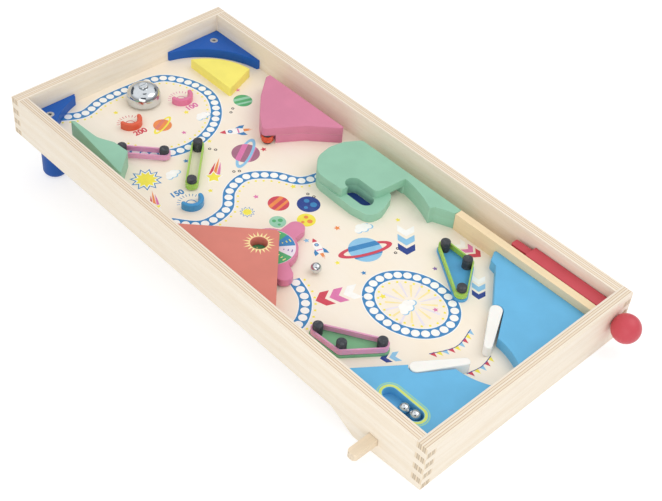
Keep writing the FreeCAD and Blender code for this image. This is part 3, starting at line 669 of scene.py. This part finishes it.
class PrintSheet:
    """Flat shapes gathered by colour, each colour then one thin closed piece on a surface."""

    def __init__(self, name, surface, body, slot, layer):
        self.name, self.surface, self.body, self.slot = name, surface, body, slot
        self.layer = layer / MM
        self.gathered = {}

    def start(self, tone, level):
        """Points and faces gathered for a colour so far, and the height of a level's top."""
        points, faces = self.gathered.setdefault(tone, ([], []))
        return points, faces, self.surface + self.layer * (level + 1)

    def add(self, tone, corners, level=0):
        """Filled outline; a higher level lies over a lower one."""
        area = sum(a[0] * b[1] - b[0] * a[1] for a, b in zip(corners, corners[1:] + corners[:1]))
        corners = list(corners) if area > 0 else list(reversed(corners))
        points, faces, top = self.start(tone, level)
        faces.extend(tube_faces(len(points), 2, len(corners)))
        points.extend((x, y, z) for z in (self.surface, top) for x, y in corners)

    def strip(self, tone, lefts, rights, level=0, closed=False):
        """Filled strip between two lines with as many points each."""
        points, faces, top = self.start(tone, level)
        faces.extend(tube_faces(len(points), len(lefts), 4, closed))
        for left, right in zip(lefts, rights):
            points.extend(((*left, self.surface), (*right, self.surface), (*right, top), (*left, top)))

    def ring(self, tone, outer, inner, level=0):
        """Filled ring between two closed outlines."""
        self.strip(tone, inner, outer, level, closed=True)

    def finish(self, inks):
        """Make the pieces."""
        for tone, (points, faces) in self.gathered.items():
            make_piece(self.name + "_" + tone, points, faces, inks[tone], self.body, self.slot)


INKS = {
    "blue": "#3A87C2", "sky": "#8FC7EA", "navy": "#23408F", "yellow": "#F7E94F", "white": "#FDFCF9",
    "pink": "#E07AB0", "red": "#D4475A", "green": "#55B174", "mint": "#9AD3B6", "orange": "#F0904F",
    "purple": "#8363A8", "plum": "#A76C86", "black": "#2C2B31", "lime": "#D5E476", "cream": "#FBE9A6",
    "coral": "#E3826F", "lilac": "#EDE6F1",
}


def inks():
    """Every ink, made once."""
    made = {}
    for name, code in INKS.items():
        key = "ink_" + name
        made[name] = bpy.data.materials.get(key) or printing_ink(key, linear(code))
    return made


RIBBON_MARGIN = 1.0
DOT_OFFSET = 3.4
DOT_PITCH = 8.0
DOT_RADIUS = 1.25


def ribbon(sheet, guides, closed, dots, sizes):
    """Blue ribbon with white beads, and a row of yellow dots on one side."""
    half = sizes.ribbon / MM / 2
    path = smooth_path(guides, closed)
    for tone, reach, level in (("white", half + RIBBON_MARGIN, 0), ("blue", half, 1)):
        sheet.strip(tone, beside(path, reach, closed), beside(path, -reach, closed), level, closed)
    for at in paced(path, sizes.bead_pitch / MM, closed):
        sheet.add("white", oval(at, sizes.bead / MM, count=24), 2)
    for at in paced(beside(path, dots * (half + DOT_OFFSET), closed), DOT_PITCH, closed):
        sheet.add("yellow", oval(at, DOT_RADIUS, count=12), 1)


def planet(sheet, at, radius, body, stripe, ring, degrees):
    """Planet with two stripes and a tilted ring that passes behind it."""
    sheet.add(body, oval(at, radius), 2)
    sheet.add(stripe, band_of(at, radius, -0.55, -0.28, degrees), 3)
    sheet.add(stripe, band_of(at, radius, 0.12, 0.5, degrees), 3)
    if ring:
        outer = oval(at, radius * 1.7, radius * 0.5, degrees, 48)
        inner = oval(at, radius * 1.36, radius * 0.3, degrees, 48)
        sheet.ring(ring, outer, inner, 1)
        front = list(range(24, 48)) + [0]
        sheet.strip(ring, [inner[i] for i in front], [outer[i] for i in front], 4)


def moon(sheet, at, radius, body, mark, degrees):
    """Small planet with craters."""
    sheet.add(body, oval(at, radius), 2)
    for reach, angle, size in ((0.45, 40, 0.24), (0.5, 170, 0.18), (0.42, 280, 0.3)):
        x, y = turned([(radius * reach, 0)], at, angle + degrees)[0]
        sheet.add(mark, oval((x, y), radius * size, count=20), 3)


def comet(sheet, at, size, degrees):
    """Yellow star with three tapering tails."""
    for offset, run, tone in ((-0.5, 3.0, "pink"), (0.0, 3.8, "orange"), (0.5, 2.8, "red")):
        bend = 0.6 * run
        tail = [(0.0, offset - 0.24), (0.0, offset + 0.24), (bend, 0.8 * offset + 0.14),
                (run, 0.6 * offset), (bend, 0.8 * offset - 0.14)]
        sheet.add(tone, turned(tail, at, degrees, size), 1)
    sheet.add("white", star(at, size * 1.18, 5, 0.56, degrees + 12), 2)
    sheet.add("yellow", star(at, size, 5, 0.52, degrees + 12), 3)


def rocket(sheet, at, size, degrees):
    """Small toy rocket with fins, a round window and a flame."""
    steps = [i / 12 for i in range(13)]
    side = [(2 * t - 1, 0.36 * math.sin(math.pi * (0.18 + 0.82 * t)) ** 0.8) for t in steps]
    hull = side + [(x, -y) for x, y in reversed(side[:-1])]
    nose = [(x, y) for x, y in hull if x > 0.48]
    for side in (1, -1):
        fin = [(-0.95, 0.18 * side), (-0.2, 0.26 * side), (-0.75, 0.62 * side), (-1.2, 0.66 * side)]
        sheet.add("blue", turned(fin, at, degrees, size), 1)
    flame = [(-0.98, 0.17), (-1.6, 0.1), (-1.35, 0.03), (-1.85, 0.0),
             (-1.35, -0.05), (-1.6, -0.12), (-0.98, -0.17)]
    sheet.add("orange", turned(flame, at, degrees, size), 1)
    sheet.add("white", turned(hull, at, degrees, size), 2)
    sheet.add("red", turned(nose, at, degrees, size), 3)
    window = turned([(0.12 * size, 0)], at, degrees)[0]
    sheet.add("navy", oval(window, size * 0.2, count=24), 3)
    sheet.add("sky", oval(window, size * 0.13, count=24), 4)
    stripe = [(-0.62, 0.29), (-0.5, 0.31), (-0.5, -0.31), (-0.62, -0.29)]
    sheet.add("pink", turned(stripe, at, degrees, size), 3)


def cloud(sheet, at, size, degrees):
    """White cloud with a pale blue shade under it."""
    sheet.add("sky", puff((at[0] + 0.6, at[1] - 0.9), size * 1.05, degrees), 1)
    sheet.add("white", puff(at, size, degrees), 2)


def flash(sheet, at, radius, degrees):
    """Plain pointed burst, blue outside and yellow inside."""
    bursts = (("blue", 1.0, 0.66), ("white", 0.86, 0.66), ("yellow", 0.74, 0.64))
    for level, (tone, share, waist) in enumerate(bursts):
        sheet.add(tone, star(at, radius * share, 11, waist, degrees), level + 1)


def pennants(sheet, start, end, sag):
    """String of pennants between two points."""
    start, end = Vector(start), Vector(end)
    middle = (start + end) / 2 + Vector((0, -sag))
    line = smooth_path([start, middle, end], steps=10)
    sheet.strip("navy", beside(line, 0.4), beside(line, -0.4), 2)
    flag = [(-2.5, 0.2), (2.5, 0.2), (0.0, -6.2)]
    for i, at in enumerate(paced(line, 6.4)):
        sheet.add(("red", "yellow", "sky")[i % 3], turned(flag, at), 1)


# Text size and stroke gain for a figure's height of 1; half its thickness and its middle's height in mm
FIGURE_LINE = 1.36
FIGURE_STROKE = 0.05
FIGURE_INK = 0.04
FIGURE_LIFT = 0.045


def figure(text, at, degrees, height, material):
    """Printed number on the playfield."""
    name = "number_" + text
    line = bpy.data.curves.new(name, "FONT")
    line.body = text
    line.align_x = "CENTER"
    line.align_y = "CENTER"
    line.size = height * FIGURE_LINE
    line.offset = height * FIGURE_STROKE
    line.extrude = FIGURE_INK
    maker = bpy.data.objects.new(name + "_line", line)
    bpy.context.scene.collection.objects.link(maker)
    bpy.context.view_layer.update()
    mesh = bpy.data.meshes.new_from_object(maker)
    bpy.data.objects.remove(maker)
    turn = Matrix.Rotation(math.radians(degrees), 4, "Z")
    place = Matrix.Translation((*at, FIELD + FIGURE_LIFT)) @ turn
    make_piece(name, *taken_apart(welded(mesh, 1e-4), place), material, "board", "printed_ply")


def cup_seat(node):
    """Middle and outer radius of a catch cup."""
    low, high = span(node)
    radius = (high.x - low.x) / 2
    return ((low.x + high.x) / 2, low.y + radius), radius


# Each wall with the board's axes along and across it
WALLS = (("left_wall", "y", "x"), ("right_wall", "y", "x"), ("near_wall", "x", "y"), ("far_wall", "x", "y"))


class BAGATELLE_OT_tray(bpy.types.Operator):
    """Gives the walls soft edges and birch, and the floor board its cream ground"""
    bl_idname = "bagatelle.tray"
    bl_label = "Tray"

    def execute(self, context):
        paints = context.scene.bagatelle_paints
        edge = context.scene.bagatelle_sizes.edge
        for node, along, across in WALLS:
            start = span(node)[0]["xyz".index(across)]
            birch = birch_ply("birch_" + node, paints, along, across, start)
            softened(node, edge, [birch], "birch_ply")
        dress(printed_ply(paints), "playfield")
        rail = plain_wood("rail_wood", paints.rail, shade(paints.rail, 0.86), "y")
        softened("lane_divider", edge, [rail], "rail_wood")
        tones = shade(paints.veneer_grain, 0.86), shade(paints.ply_line, 0.9)
        end_grain = plain_wood("plug_wood", *tones, "y")
        wall_front = span("near_wall")[0].y
        corners = oval(PLUG, *PLUG_SIZE, count=28)
        points = [(x, wall_front + depth, z) for depth in PLUG_DEPTHS for x, z in corners]
        faces = tube_faces(0, 2, len(corners))
        make_piece("wall_plug", points, faces, end_grain, "board", "birch_ply")
        return {"FINISHED"}


# Each paint with its slot and the blocks that carry it
PAINTED_BLOCKS = (
    ("dark_blue", "dark_blue_paint", "corner_block_left", "corner_block_right"),
    ("yellow", "yellow_paint", "yellow_block"),
    ("pink", "pink_paint", "pink_block_base", "pink_block_top"),
    ("green", "green_paint", "tunnel_base", "tunnel_roof", "wedge_block"),
    ("coral", "coral_paint", "spinner_base", "spinner_cover"),
    ("light_blue", "light_blue_paint", "apron_left", "apron_right"),
    ("plate_green", "plate_green", "bumper_plate_left"),
    ("plate_blue", "plate_blue", "bumper_plate_right"),
)


class BAGATELLE_OT_blocks(bpy.types.Operator):
    """Paints the guide blocks, the aprons, the housing and the bumper plates"""
    bl_idname = "bagatelle.blocks"
    bl_label = "Painted blocks"

    def execute(self, context):
        paints = context.scene.bagatelle_paints
        edge = context.scene.bagatelle_sizes.paint_edge
        for tone, slot, *members in PAINTED_BLOCKS:
            # The blocks' rounded edges take the lighter paint: partly painted highlight, partly wear.
            layers = paint_wear_and_highlight(tone, getattr(paints, tone), paints)
            for node in members:
                softened(node, edge, layers, slot)
        # The feet's paint carries painted shade from under the tray.
        dress(painted_wood("foot_paint", paints.foot), "feet")
        return {"FINISHED"}


class BAGATELLE_OT_movers(bpy.types.Operator):
    """Finishes the spinner, the flippers, the launcher and the push levers"""
    bl_idname = "bagatelle.movers"
    bl_label = "Moving parts"

    def execute(self, context):
        paints = context.scene.bagatelle_paints
        edge = context.scene.bagatelle_sizes.paint_edge
        # The wheel's rounded edges take the lighter paint: partly painted highlight, partly wear.
        wheel = paint_wear_and_highlight("wheel", paints.wheel, paints)
        softened("spinner_wheel", edge, wheel, "wheel_paint", "spinner")
        dress(moulded_plastic("dial_card", linear(INKS["lilac"]), 0.4), "spinner_dial")
        red = painted_wood("red_paint", paints.red, 0.4)
        softened("launcher_cover", edge, [red], "red_paint")
        dress(red, "launcher_striker", "launcher_knob")
        white = moulded_plastic("flipper_plastic", paints.flipper, 0.22)
        crank = moulded_plastic("crank_plastic", linear("#2E3136"), 0.5)
        lever = plain_wood("lever_wood", paints.lever, shade(paints.lever, 0.87), "x")
        steel = bright_metal("shaft_steel", linear("#A2A5A8"), 0.32, 0.1)
        for side in ("left", "right"):
            dress(white, "flipper_" + side)
            dress(crank, "flipper_crank_" + side)
            dress(steel, "flipper_shaft_" + side)
            dress(lever, "side_lever_" + side)
        guide = plain_wood("guide_wood", shade(paints.lever, 0.94), shade(paints.lever, 0.78), "x")
        dress(guide, "lever_guides", "lever_spring_block")
        dress(steel, "launcher_rod", "spinner_axle", "block_screws")
        dress(bright_metal("bolt_zinc", linear("#C9CBCE"), 0.4, 0.05), "foot_bolts")
        return {"FINISHED"}


class BAGATELLE_OT_hardware(bpy.types.Operator):
    """Finishes the bell, the balls, the cups, the posts and the rubber bands"""
    bl_idname = "bagatelle.hardware"
    bl_label = "Bell, balls, cups and posts"

    def execute(self, context):
        paints = context.scene.bagatelle_paints
        chrome = bright_metal("polished_chrome", linear("#D8DCDF"), 0.09)
        dress(chrome, "bell_gong", "bell_base", "bell_bolt")
        dress(chrome, "ball_in_play", "ball_stored_near", "ball_stored_far")
        for tone in ("cup_orange", "cup_pink", "cup_blue"):
            dress(moulded_plastic(tone + "_plastic", getattr(paints, tone), 0.34), tone)
        dress(rubber("post_rubber", paints.post), "band_posts", "bumper_posts", "ring_post")
        pink = rubber("band_pink_rubber", paints.band_pink, 0.4, 0.25)
        green = rubber("band_green_rubber", paints.band_green, 0.4, 0.25)
        dress(pink, "band_bumper_left", "band_far_pair")
        dress(green, "band_bumper_right", "band_mid_pair")
        dress(rubber("ring_rubber", paints.ring, 0.35, 0.3), "ring_bumper")
        return {"FINISHED"}


# Each spring's node, joint, axis and turns, and whether its low (0) or high (1) end stays put
SPRINGS = (
    ("launcher_spring", "launcher_pull", "y", 14, 0),
    ("lever_spring_left", "lever_left_push", "x", 8, 1),
    ("lever_spring_right", "lever_right_push", "x", 8, 0),
)


class BAGATELLE_OT_springs(bpy.types.Operator):
    """Winds the launcher's spring and the levers' springs"""
    bl_idname = "bagatelle.springs"
    bl_label = "Springs"

    def execute(self, context):
        wire = context.scene.bagatelle_sizes.spring_wire / MM
        steel = bright_metal("spring_steel", linear("#B4B7BA"), 0.22, 0.05)
        for node, joint, axis, turns, fixed_end in SPRINGS:
            piece, *ends = coil(node, axis, turns, wire, steel)
            crush(piece)
        return {"FINISHED"}


# Middle of the round track; then each ribbon's guide points, whether it closes, and its dots' side
LOOP = (134, 142)
FAR_ARC = (
    (20, 590), (60, 566), (92, 572), (130, 572), (168, 566), (188, 540), (192, 508),
    (176, 478), (148, 458), (112, 452), (78, 466), (62, 492), (44, 500),
)
MIDDLE_WAVE = ((30, 372), (52, 350), (84, 352), (106, 372), (132, 378), (156, 362), (172, 338), (196, 330))
SIDE_RUN = ((12, 196), (30, 190), (46, 196), (62, 212), (70, 236))
RIBBONS = (
    (FAR_ARC, False, -1),
    (MIDDLE_WAVE, False, -1),
    (oval(LOOP, 35, 43, 12, 12), True, 1),
    (SIDE_RUN, False, -1),
)
# Rows of chevrons: place, direction, inks and width
CHEVRONS = (
    ((100, 189), 158, ("white", "pink", "red"), 18.0),
    ((202, 215), 226, ("white", "sky", "navy"), 17.0),
    ((231, 166), 276, ("white", "pink", "red"), 12.0),
    ((207, 122), 222, ("white", "sky", "navy"), 13.0),
    ((74, 106), 150, ("sky", "navy"), 11.0),
)
CHEVRON_STEP = 0.78
CHEVRON_DEPTH = 0.42
CHEVRON_THICKNESS = 0.52


class BAGATELLE_OT_ribbons(bpy.types.Operator):
    """Prints the beaded ribbons and the chevrons on the playfield"""
    bl_idname = "bagatelle.ribbons"
    bl_label = "Printed ribbons"

    def execute(self, context):
        sizes = context.scene.bagatelle_sizes
        sheet = PrintSheet("print", FIELD, "board", "printed_ply", sizes.ink)
        for guides, closed, dots in RIBBONS:
            ribbon(sheet, guides, closed, dots, sizes)
        for at, degrees, tones, width in CHEVRONS:
            for i, tone in enumerate(tones):
                place = turned([(CHEVRON_STEP * width * i, 0)], at, degrees)[0]
                shape = chevron(place, width, width * CHEVRON_DEPTH, width * CHEVRON_THICKNESS, degrees)
                sheet.add(tone, shape, 3)
        sheet.finish(inks())
        return {"FINISHED"}


# What each drawing function prints: places, sizes, inks and angles
PICTURES = (
    (planet, (
        ((118, 498), 10.0, "orange", "coral", "yellow", 24),
        ((214, 478), 10.5, "green", "mint", None, -18),
        ((157, 407), 15.0, "plum", "pink", "sky", 32),
        ((152, 222), 17.0, "sky", "blue", "red", -20),
        ((131, 326), 11.0, "red", "orange", None, 10),
    )),
    (moon, (
        ((154, 306), 12.0, "navy", "blue", 30),
        ((112, 306), 8.5, "mint", "green", 80),
        ((136, 290), 9.5, "yellow", "orange", 10),
    )),
    (comet, (((106, 398), 8.5, 40), ((31, 398), 7.0, 60))),
    (rocket, (((169, 444), 13.0, 152), ((119, 256), 11.0, 70))),
    (flash, (((50, 438), 17.0, 8), ((98, 336), 8.0, 0))),
    (cloud, (
        ((76, 428), 9.0, 10), ((162, 484), 9.0, 0), ((172, 246), 10.0, -10), ((128, 142), 11.0, 15),
    )),
)
STARS = (
    ((152, 500), 3.4, "yellow"), ((128, 474), 3.0, "pink"), ((100, 436), 3.2, "blue"),
    ((140, 446), 2.8, "yellow"), ((176, 400), 3.6, "red"), ((90, 384), 3.0, "yellow"),
    ((120, 348), 3.2, "pink"), ((160, 336), 3.4, "yellow"), ((116, 268), 3.2, "sky"),
    ((152, 262), 3.6, "orange"), ((118, 226), 3.0, "yellow"), ((128, 200), 3.0, "blue"),
    ((120, 166), 3.6, "yellow"), ((146, 122), 3.0, "pink"), ((24, 330), 3.0, "yellow"),
    ((92, 546), 3.2, "yellow"), ((222, 496), 3.0, "pink"), ((208, 232), 3.0, "yellow"),
    ((186, 160), 2.8, "purple"), ((66, 96), 2.6, "yellow"),
)
SMALL_RINGS = (
    (190, 470), (196, 474), (132, 436), (136, 431), (128, 392), (133, 389),
    (164, 318), (166, 311), (106, 284), (110, 279), (172, 200), (178, 203),
)
SMALL_RING_RADII = (1.7, 0.9)
STAR_WAIST = 0.48
PENNANTS = (((101, 88), (153, 84), 8.0), ((110, 50), (143, 50), 3.0))
WHEEL_RAYS = 16
WHEEL_HUB = 9.0
SLOT_MARGIN = 0.4


class BAGATELLE_OT_pictures(bpy.types.Operator):
    """Prints planets, stars, clouds and other small sky pictures"""
    bl_idname = "bagatelle.pictures"
    bl_label = "Printed pictures"

    def execute(self, context):
        sheet = PrintSheet("picture", FIELD, "board", "printed_ply", context.scene.bagatelle_sizes.ink)
        for draw, rows in PICTURES:
            for row in rows:
                draw(sheet, *row)
        for i in range(WHEEL_RAYS):
            tone, reach = (("cream", 25.0), ("lilac", 29.0))[i % 2]
            angle = 360 * i / WHEEL_RAYS
            sheet.add(tone, slice_of(LOOP, WHEEL_HUB, reach, angle - 3, angle + 3), 0)
        for at, radius, tone in STARS:
            sheet.add(tone, star(at, radius, 5, STAR_WAIST, 20 * radius), 3)
        for at in SMALL_RINGS:
            outer, inner = [oval(at, radius, count=20) for radius in SMALL_RING_RADII]
            sheet.ring("black", outer, inner, 3)
        for start, end, sag in PENNANTS:
            pennants(sheet, start, end, sag)
        # Navy sheet laid on the floor of the tunnel block's slot, just inside its outline.
        slot_floor_sheet = stadium(HOOK_SLOT, *(size - SLOT_MARGIN for size in HOOK_SLOT_SIZE))
        sheet.add("navy", slot_floor_sheet, 4)
        sheet.finish(inks())
        return {"FINISHED"}


# Each cup's ink and number, and the number's offset from the cup and its turn
SCORES = (
    ("cup_orange", "red", "200", (0.0, -17.6), -4),
    ("cup_pink", "pink", "100", (0.6, -17.6), -1),
    ("cup_blue", "blue", "150", (-2.0, 20.4), -7),
)
CUP_RAY_INSIDE = 1.6
CUP_RAY_OUTSIDE = 1.8
CUP_RAY_HALF_ANGLE = 1.4
SEAT_SHARE = 0.44
SEAT_LINE = 0.9


class BAGATELLE_OT_scores(bpy.types.Operator):
    """Prints the scores, with the rays and rings of the catch cups"""
    bl_idname = "bagatelle.scores"
    bl_label = "Printed scores"

    def execute(self, context):
        sizes = context.scene.bagatelle_sizes
        tones = inks()
        sheet = PrintSheet("score", FIELD, "board", "printed_ply", sizes.ink)
        for node, tone, text, offset, turn in SCORES:
            seat, radius = cup_seat(node)
            for angle in range(30, 151, 15):
                ray = slice_of(seat, radius - CUP_RAY_INSIDE, radius + CUP_RAY_OUTSIDE,
                               angle - CUP_RAY_HALF_ANGLE, angle + CUP_RAY_HALF_ANGLE)
                sheet.add(tone, ray, 3)
            ring = radius * SEAT_SHARE
            sheet.ring(tone, oval(seat, ring), oval(seat, ring - SEAT_LINE), 3)
            place = (seat[0] + offset[0], seat[1] + offset[1])
            figure(text, place, turn, sizes.figures / MM, tones[tone])
        sheet.finish(tones)
        return {"FINISHED"}


# Trims round the window and the pocket: gaps from the opening's edge; then the dial's pattern
WINDOW_RAYS = 20
WINDOW_RING = (0.5, 1.3)
RAY_START = 1.4
RAY_RUNS = (4.6, 6.2)
POCKET_RINGS = (("lime", 0.5, 3.2), ("mint", 4.0, 5.4))
DIAL_SECTORS = 9
DIAL_MARKS = (0.52, 0.7, 0.86)
DIAL_MARK_WIDTH = 1.1
DIAL_MARK_HALF_ANGLE = 6
DIAL_TURN = 6
DIAL_HUB = 4.0
DIAL_MARGIN = 0.4
DIAL_INKS = (("green", "cream"), ("lilac", "purple"), ("blue", "yellow"))


class BAGATELLE_OT_trims(bpy.types.Operator):
    """Prints the rays round the window, the rings round the pocket and the dial's sectors"""
    bl_idname = "bagatelle.trims"
    bl_label = "Printed trims"

    def execute(self, context):
        ink = context.scene.bagatelle_sizes.ink
        tones = inks()
        cover = PrintSheet("window", COVER_TOP, "board", "coral_paint", ink)
        base = WINDOW_RADIUS + RAY_START
        for i in range(WINDOW_RAYS):
            ray = [(base, -1.0), (base + RAY_RUNS[i % 2], 0.0), (base, 1.0)]
            cover.add("cream", turned(ray, WINDOW, 360 * i / WINDOW_RAYS), 1)
        inner, outer = [oval(WINDOW, WINDOW_RADIUS + gap, count=48) for gap in WINDOW_RING]
        cover.ring("cream", outer, inner)
        cover.finish(tones)
        apron = PrintSheet("pocket", APRON_TOP, "board", "light_blue_paint", ink)
        for tone, *gaps in POCKET_RINGS:
            inner, outer = [stadium(POCKET, *(size + 2 * gap for size in POCKET_SIZE)) for gap in gaps]
            apron.ring(tone, outer, inner)
        apron.finish(tones)
        dial = PrintSheet("dial", DIAL_TOP, "spinner", "dial_print", ink)
        dial_low, dial_high = span("spinner_dial")
        rim = (dial_high.x - dial_low.x) / 2 - DIAL_MARGIN
        for i in range(DIAL_SECTORS):
            start = 360 * i / DIAL_SECTORS + DIAL_TURN
            end = start + 360 / DIAL_SECTORS
            tone, mark = DIAL_INKS[i % 3]
            dial.add(tone, slice_of(SPINNER, DIAL_HUB, rim, start, end))
            middle = (start + end) / 2
            for share in DIAL_MARKS:
                reach, half = rim * share, DIAL_MARK_HALF_ANGLE * share
                mark_shape = slice_of(SPINNER, reach, reach + DIAL_MARK_WIDTH, middle - half, middle + half)
                dial.add(mark, mark_shape, 1)
        dial.finish(tones)
        return {"FINISHED"}


class BAGATELLE_OT_stage(bpy.types.Operator):
    """Sets up the white floor, the soft lamps and the camera"""
    bl_idname = "bagatelle.stage"
    bl_label = "Stage"

    def execute(self, context):
        scene = context.scene
        scene.view_settings.view_transform = "Standard"
        for build in (white_world, stage_floor, reflection_cards, soft_lamps, place_camera):
            build(scene)
        return {"FINISHED"}


# Light levels, the stage's tones, and the places, sizes and powers of its lamps and cards
AMBIENT = 0.81
SKY_TONE = (1.0, 0.99, 0.975)
LAMP_TONE = (1.0, 0.985, 0.96)
FLOOR_TONE = (0.56, 0.56, 0.57)
FLOOR_GLOW = 0.34
FLOOR_SEEN = 0.24
FLOOR_WIDTH = 30.0
CARD_TONE = (0.09, 0.1, 0.12)
MIRRORED_LEVELS = ((0.05, 0.16), (0.42, 0.5), (0.7, 1.0))
LAMPS = (
    ("key_lamp", (1.15, -0.95, 1.9), 1.5, 12.0),
    ("fill_lamp", (-1.6, -1.3, 0.75), 1.6, 11.5),
)
CARDS = (
    ("card_far", (-0.3, 1.5, 1.1), 1.6, 0.5),
    ("card_side", (1.6, 0.5, 1.0), 0.9, 0.45),
    ("card_top", (0.25, 0.35, 1.6), 0.3, 0.5),
    ("card_front", (-1.1, -1.2, 1.55), 1.3, 1.0),
)


def sees_white(tree):
    """1 for camera, glossy and transmission rays, 0 for the rays that light things."""
    rays = tree.add("ShaderNodeLightPath").outputs
    seen = tree.math("MAXIMUM", rays["Is Camera Ray"], rays["Is Glossy Ray"])
    return tree.math("MAXIMUM", seen, rays["Is Transmission Ray"])


def studio_gradient(tree):
    """What polished metal sees: dark near the horizon, white overhead."""
    direction = tree.add("ShaderNodeTexCoord").outputs["Generated"]
    stops = [(place, (level, level * 1.01, level * 1.03)) for place, level in MIRRORED_LEVELS]
    return tree.ramp(tree.split(direction)["z"], stops)


def white_world(scene):
    """Even white surroundings, seen as pure white, and as a gradient in polished metal."""
    scene.world = bpy.data.worlds.new("studio")
    tree = NodeTree(scene.world, "ShaderNodeOutputWorld")
    light = tree.add("ShaderNodeBackground", Color=SKY_TONE, Strength=AMBIENT).outputs[0]
    seen = tree.add("ShaderNodeBackground", Color=(1.0, 1.0, 1.0)).outputs[0]
    mirrored = tree.add("ShaderNodeBackground", Color=studio_gradient(tree)).outputs[0]
    plain = tree.chain("ShaderNodeMixShader", sees_white(tree), light, seen)
    glossy = tree.add("ShaderNodeLightPath").outputs["Is Glossy Ray"]
    tree.feed(tree.surface, tree.chain("ShaderNodeMixShader", glossy, plain, mirrored))


def aimed(at):
    """Place in metres that faces the middle of the game."""
    return Matrix.Translation(at) @ Vector(at).to_track_quat("Z", "Y").to_matrix().to_4x4()


def flat_panel(scene, name, place, width, depth, material):
    """Flat rectangle of the stage."""
    mesh = bpy.data.meshes.new(name)
    corners = [(x * width / 2, y * depth / 2, 0) for x, y in ((-1, -1), (1, -1), (1, 1), (-1, 1))]
    mesh.from_pydata(corners, [], [(0, 1, 2, 3)])
    mesh.materials.append(material)
    panel = bpy.data.objects.new(name, mesh)
    panel.matrix_world = place
    scene.collection.objects.link(panel)
    return panel


def stage_floor(scene):
    """White floor that keeps the object's soft shadow."""
    material = bpy.data.materials.new("stage_white")
    tree = NodeTree(material, "ShaderNodeOutputMaterial")
    paper = tree.add("ShaderNodeBsdfDiffuse", Color=FLOOR_TONE).outputs[0]
    strength = tree.math("MULTIPLY_ADD", sees_white(tree), FLOOR_SEEN, FLOOR_GLOW)
    glow = tree.add("ShaderNodeEmission", Strength=strength).outputs[0]
    tree.feed(tree.surface, tree.chain("ShaderNodeAddShader", paper, glow))
    flat_panel(scene, "floor", Matrix.Translation((0, 0, -0.0002)), FLOOR_WIDTH, FLOOR_WIDTH, material)


def reflection_cards(scene):
    """Grey cards that only polished metal sees, so that chrome has something to show."""
    material = bpy.data.materials.new("card_grey")
    tree = NodeTree(material, "ShaderNodeOutputMaterial")
    tree.feed(tree.surface, tree.add("ShaderNodeEmission", Color=CARD_TONE).outputs[0])
    for name, at, width, depth in CARDS:
        card = flat_panel(scene, name, aimed(at), width, depth, material)
        for rays in ("camera", "diffuse", "shadow", "transmission"):
            setattr(card, "visible_" + rays, False)


def soft_lamps(scene):
    """Square soft boxes aimed at the middle of the game."""
    for name, at, size, power in LAMPS:
        lamp = bpy.data.lights.new(name, "AREA")
        lamp.shape = "SQUARE"
        lamp.size = size
        lamp.energy = power
        lamp.color = LAMP_TONE
        holder = bpy.data.objects.new(name, lamp)
        holder.matrix_world = aimed(at)
        scene.collection.objects.link(holder)


def place_camera(scene):
    """Camera at the photograph's place, set out from the board."""
    camera = bpy.data.cameras.new("view_camera")
    camera.sensor_fit = "HORIZONTAL"
    camera.sensor_width = 36.0
    camera.lens = LENS
    camera.clip_start = 0.05
    camera.clip_end = 60.0
    aim = CAMERA_AIM.normalized()
    right = aim.cross(CAMERA_UP).normalized()
    up = right.cross(aim)
    turn = Matrix((right, up, -aim)).transposed()
    tip = Matrix.Rotation(SLOPE, 3, "X")
    holder = bpy.data.objects.new("view_camera", camera)
    holder.matrix_world = Matrix.Translation(BOARD @ CAMERA_AT) @ (tip @ turn).to_4x4()
    scene.collection.objects.link(holder)
    scene.camera = holder


OPERATORS = (
    BAGATELLE_OT_tray, BAGATELLE_OT_blocks, BAGATELLE_OT_movers, BAGATELLE_OT_hardware,
    BAGATELLE_OT_springs, BAGATELLE_OT_ribbons, BAGATELLE_OT_pictures, BAGATELLE_OT_scores,
    BAGATELLE_OT_trims, BAGATELLE_OT_stage,
)


class BAGATELLE_PT_panel(bpy.types.Panel):
    """Buttons and settings of the bagatelle game"""
    bl_idname = "BAGATELLE_PT_panel"
    bl_label = "Bagatelle"
    bl_space_type = "VIEW_3D"
    bl_region_type = "UI"
    bl_category = "Bagatelle"

    def draw(self, context):
        layout = self.layout
        for operator in OPERATORS:
            layout.operator(operator.bl_idname)
        for settings in (context.scene.bagatelle_paints, context.scene.bagatelle_sizes):
            box = layout.box()
            for name in settings.bl_rna.properties.keys():
                if name not in ("rna_type", "name"):
                    box.prop(settings, name)


CLASSES = (BagatellePaints, BagatelleSizes, *OPERATORS, BAGATELLE_PT_panel)


def register():
    """Make the settings, operators and panel known."""
    for kind in CLASSES:
        bpy.utils.register_class(kind)
    bpy.types.Scene.bagatelle_paints = bpy.props.PointerProperty(type=BagatellePaints)
    bpy.types.Scene.bagatelle_sizes = bpy.props.PointerProperty(type=BagatelleSizes)


def unregister():
    """Take them out again."""
    del bpy.types.Scene.bagatelle_sizes
    del bpy.types.Scene.bagatelle_paints
    for kind in reversed(CLASSES):
        bpy.utils.unregister_class(kind)


def main():
    """Dress the game piece by piece."""
    register()
    for operator in OPERATORS:
        group, name = operator.bl_idname.split(".")
        getattr(getattr(bpy.ops, group), name)()


if __name__ == "__main__":
    main()
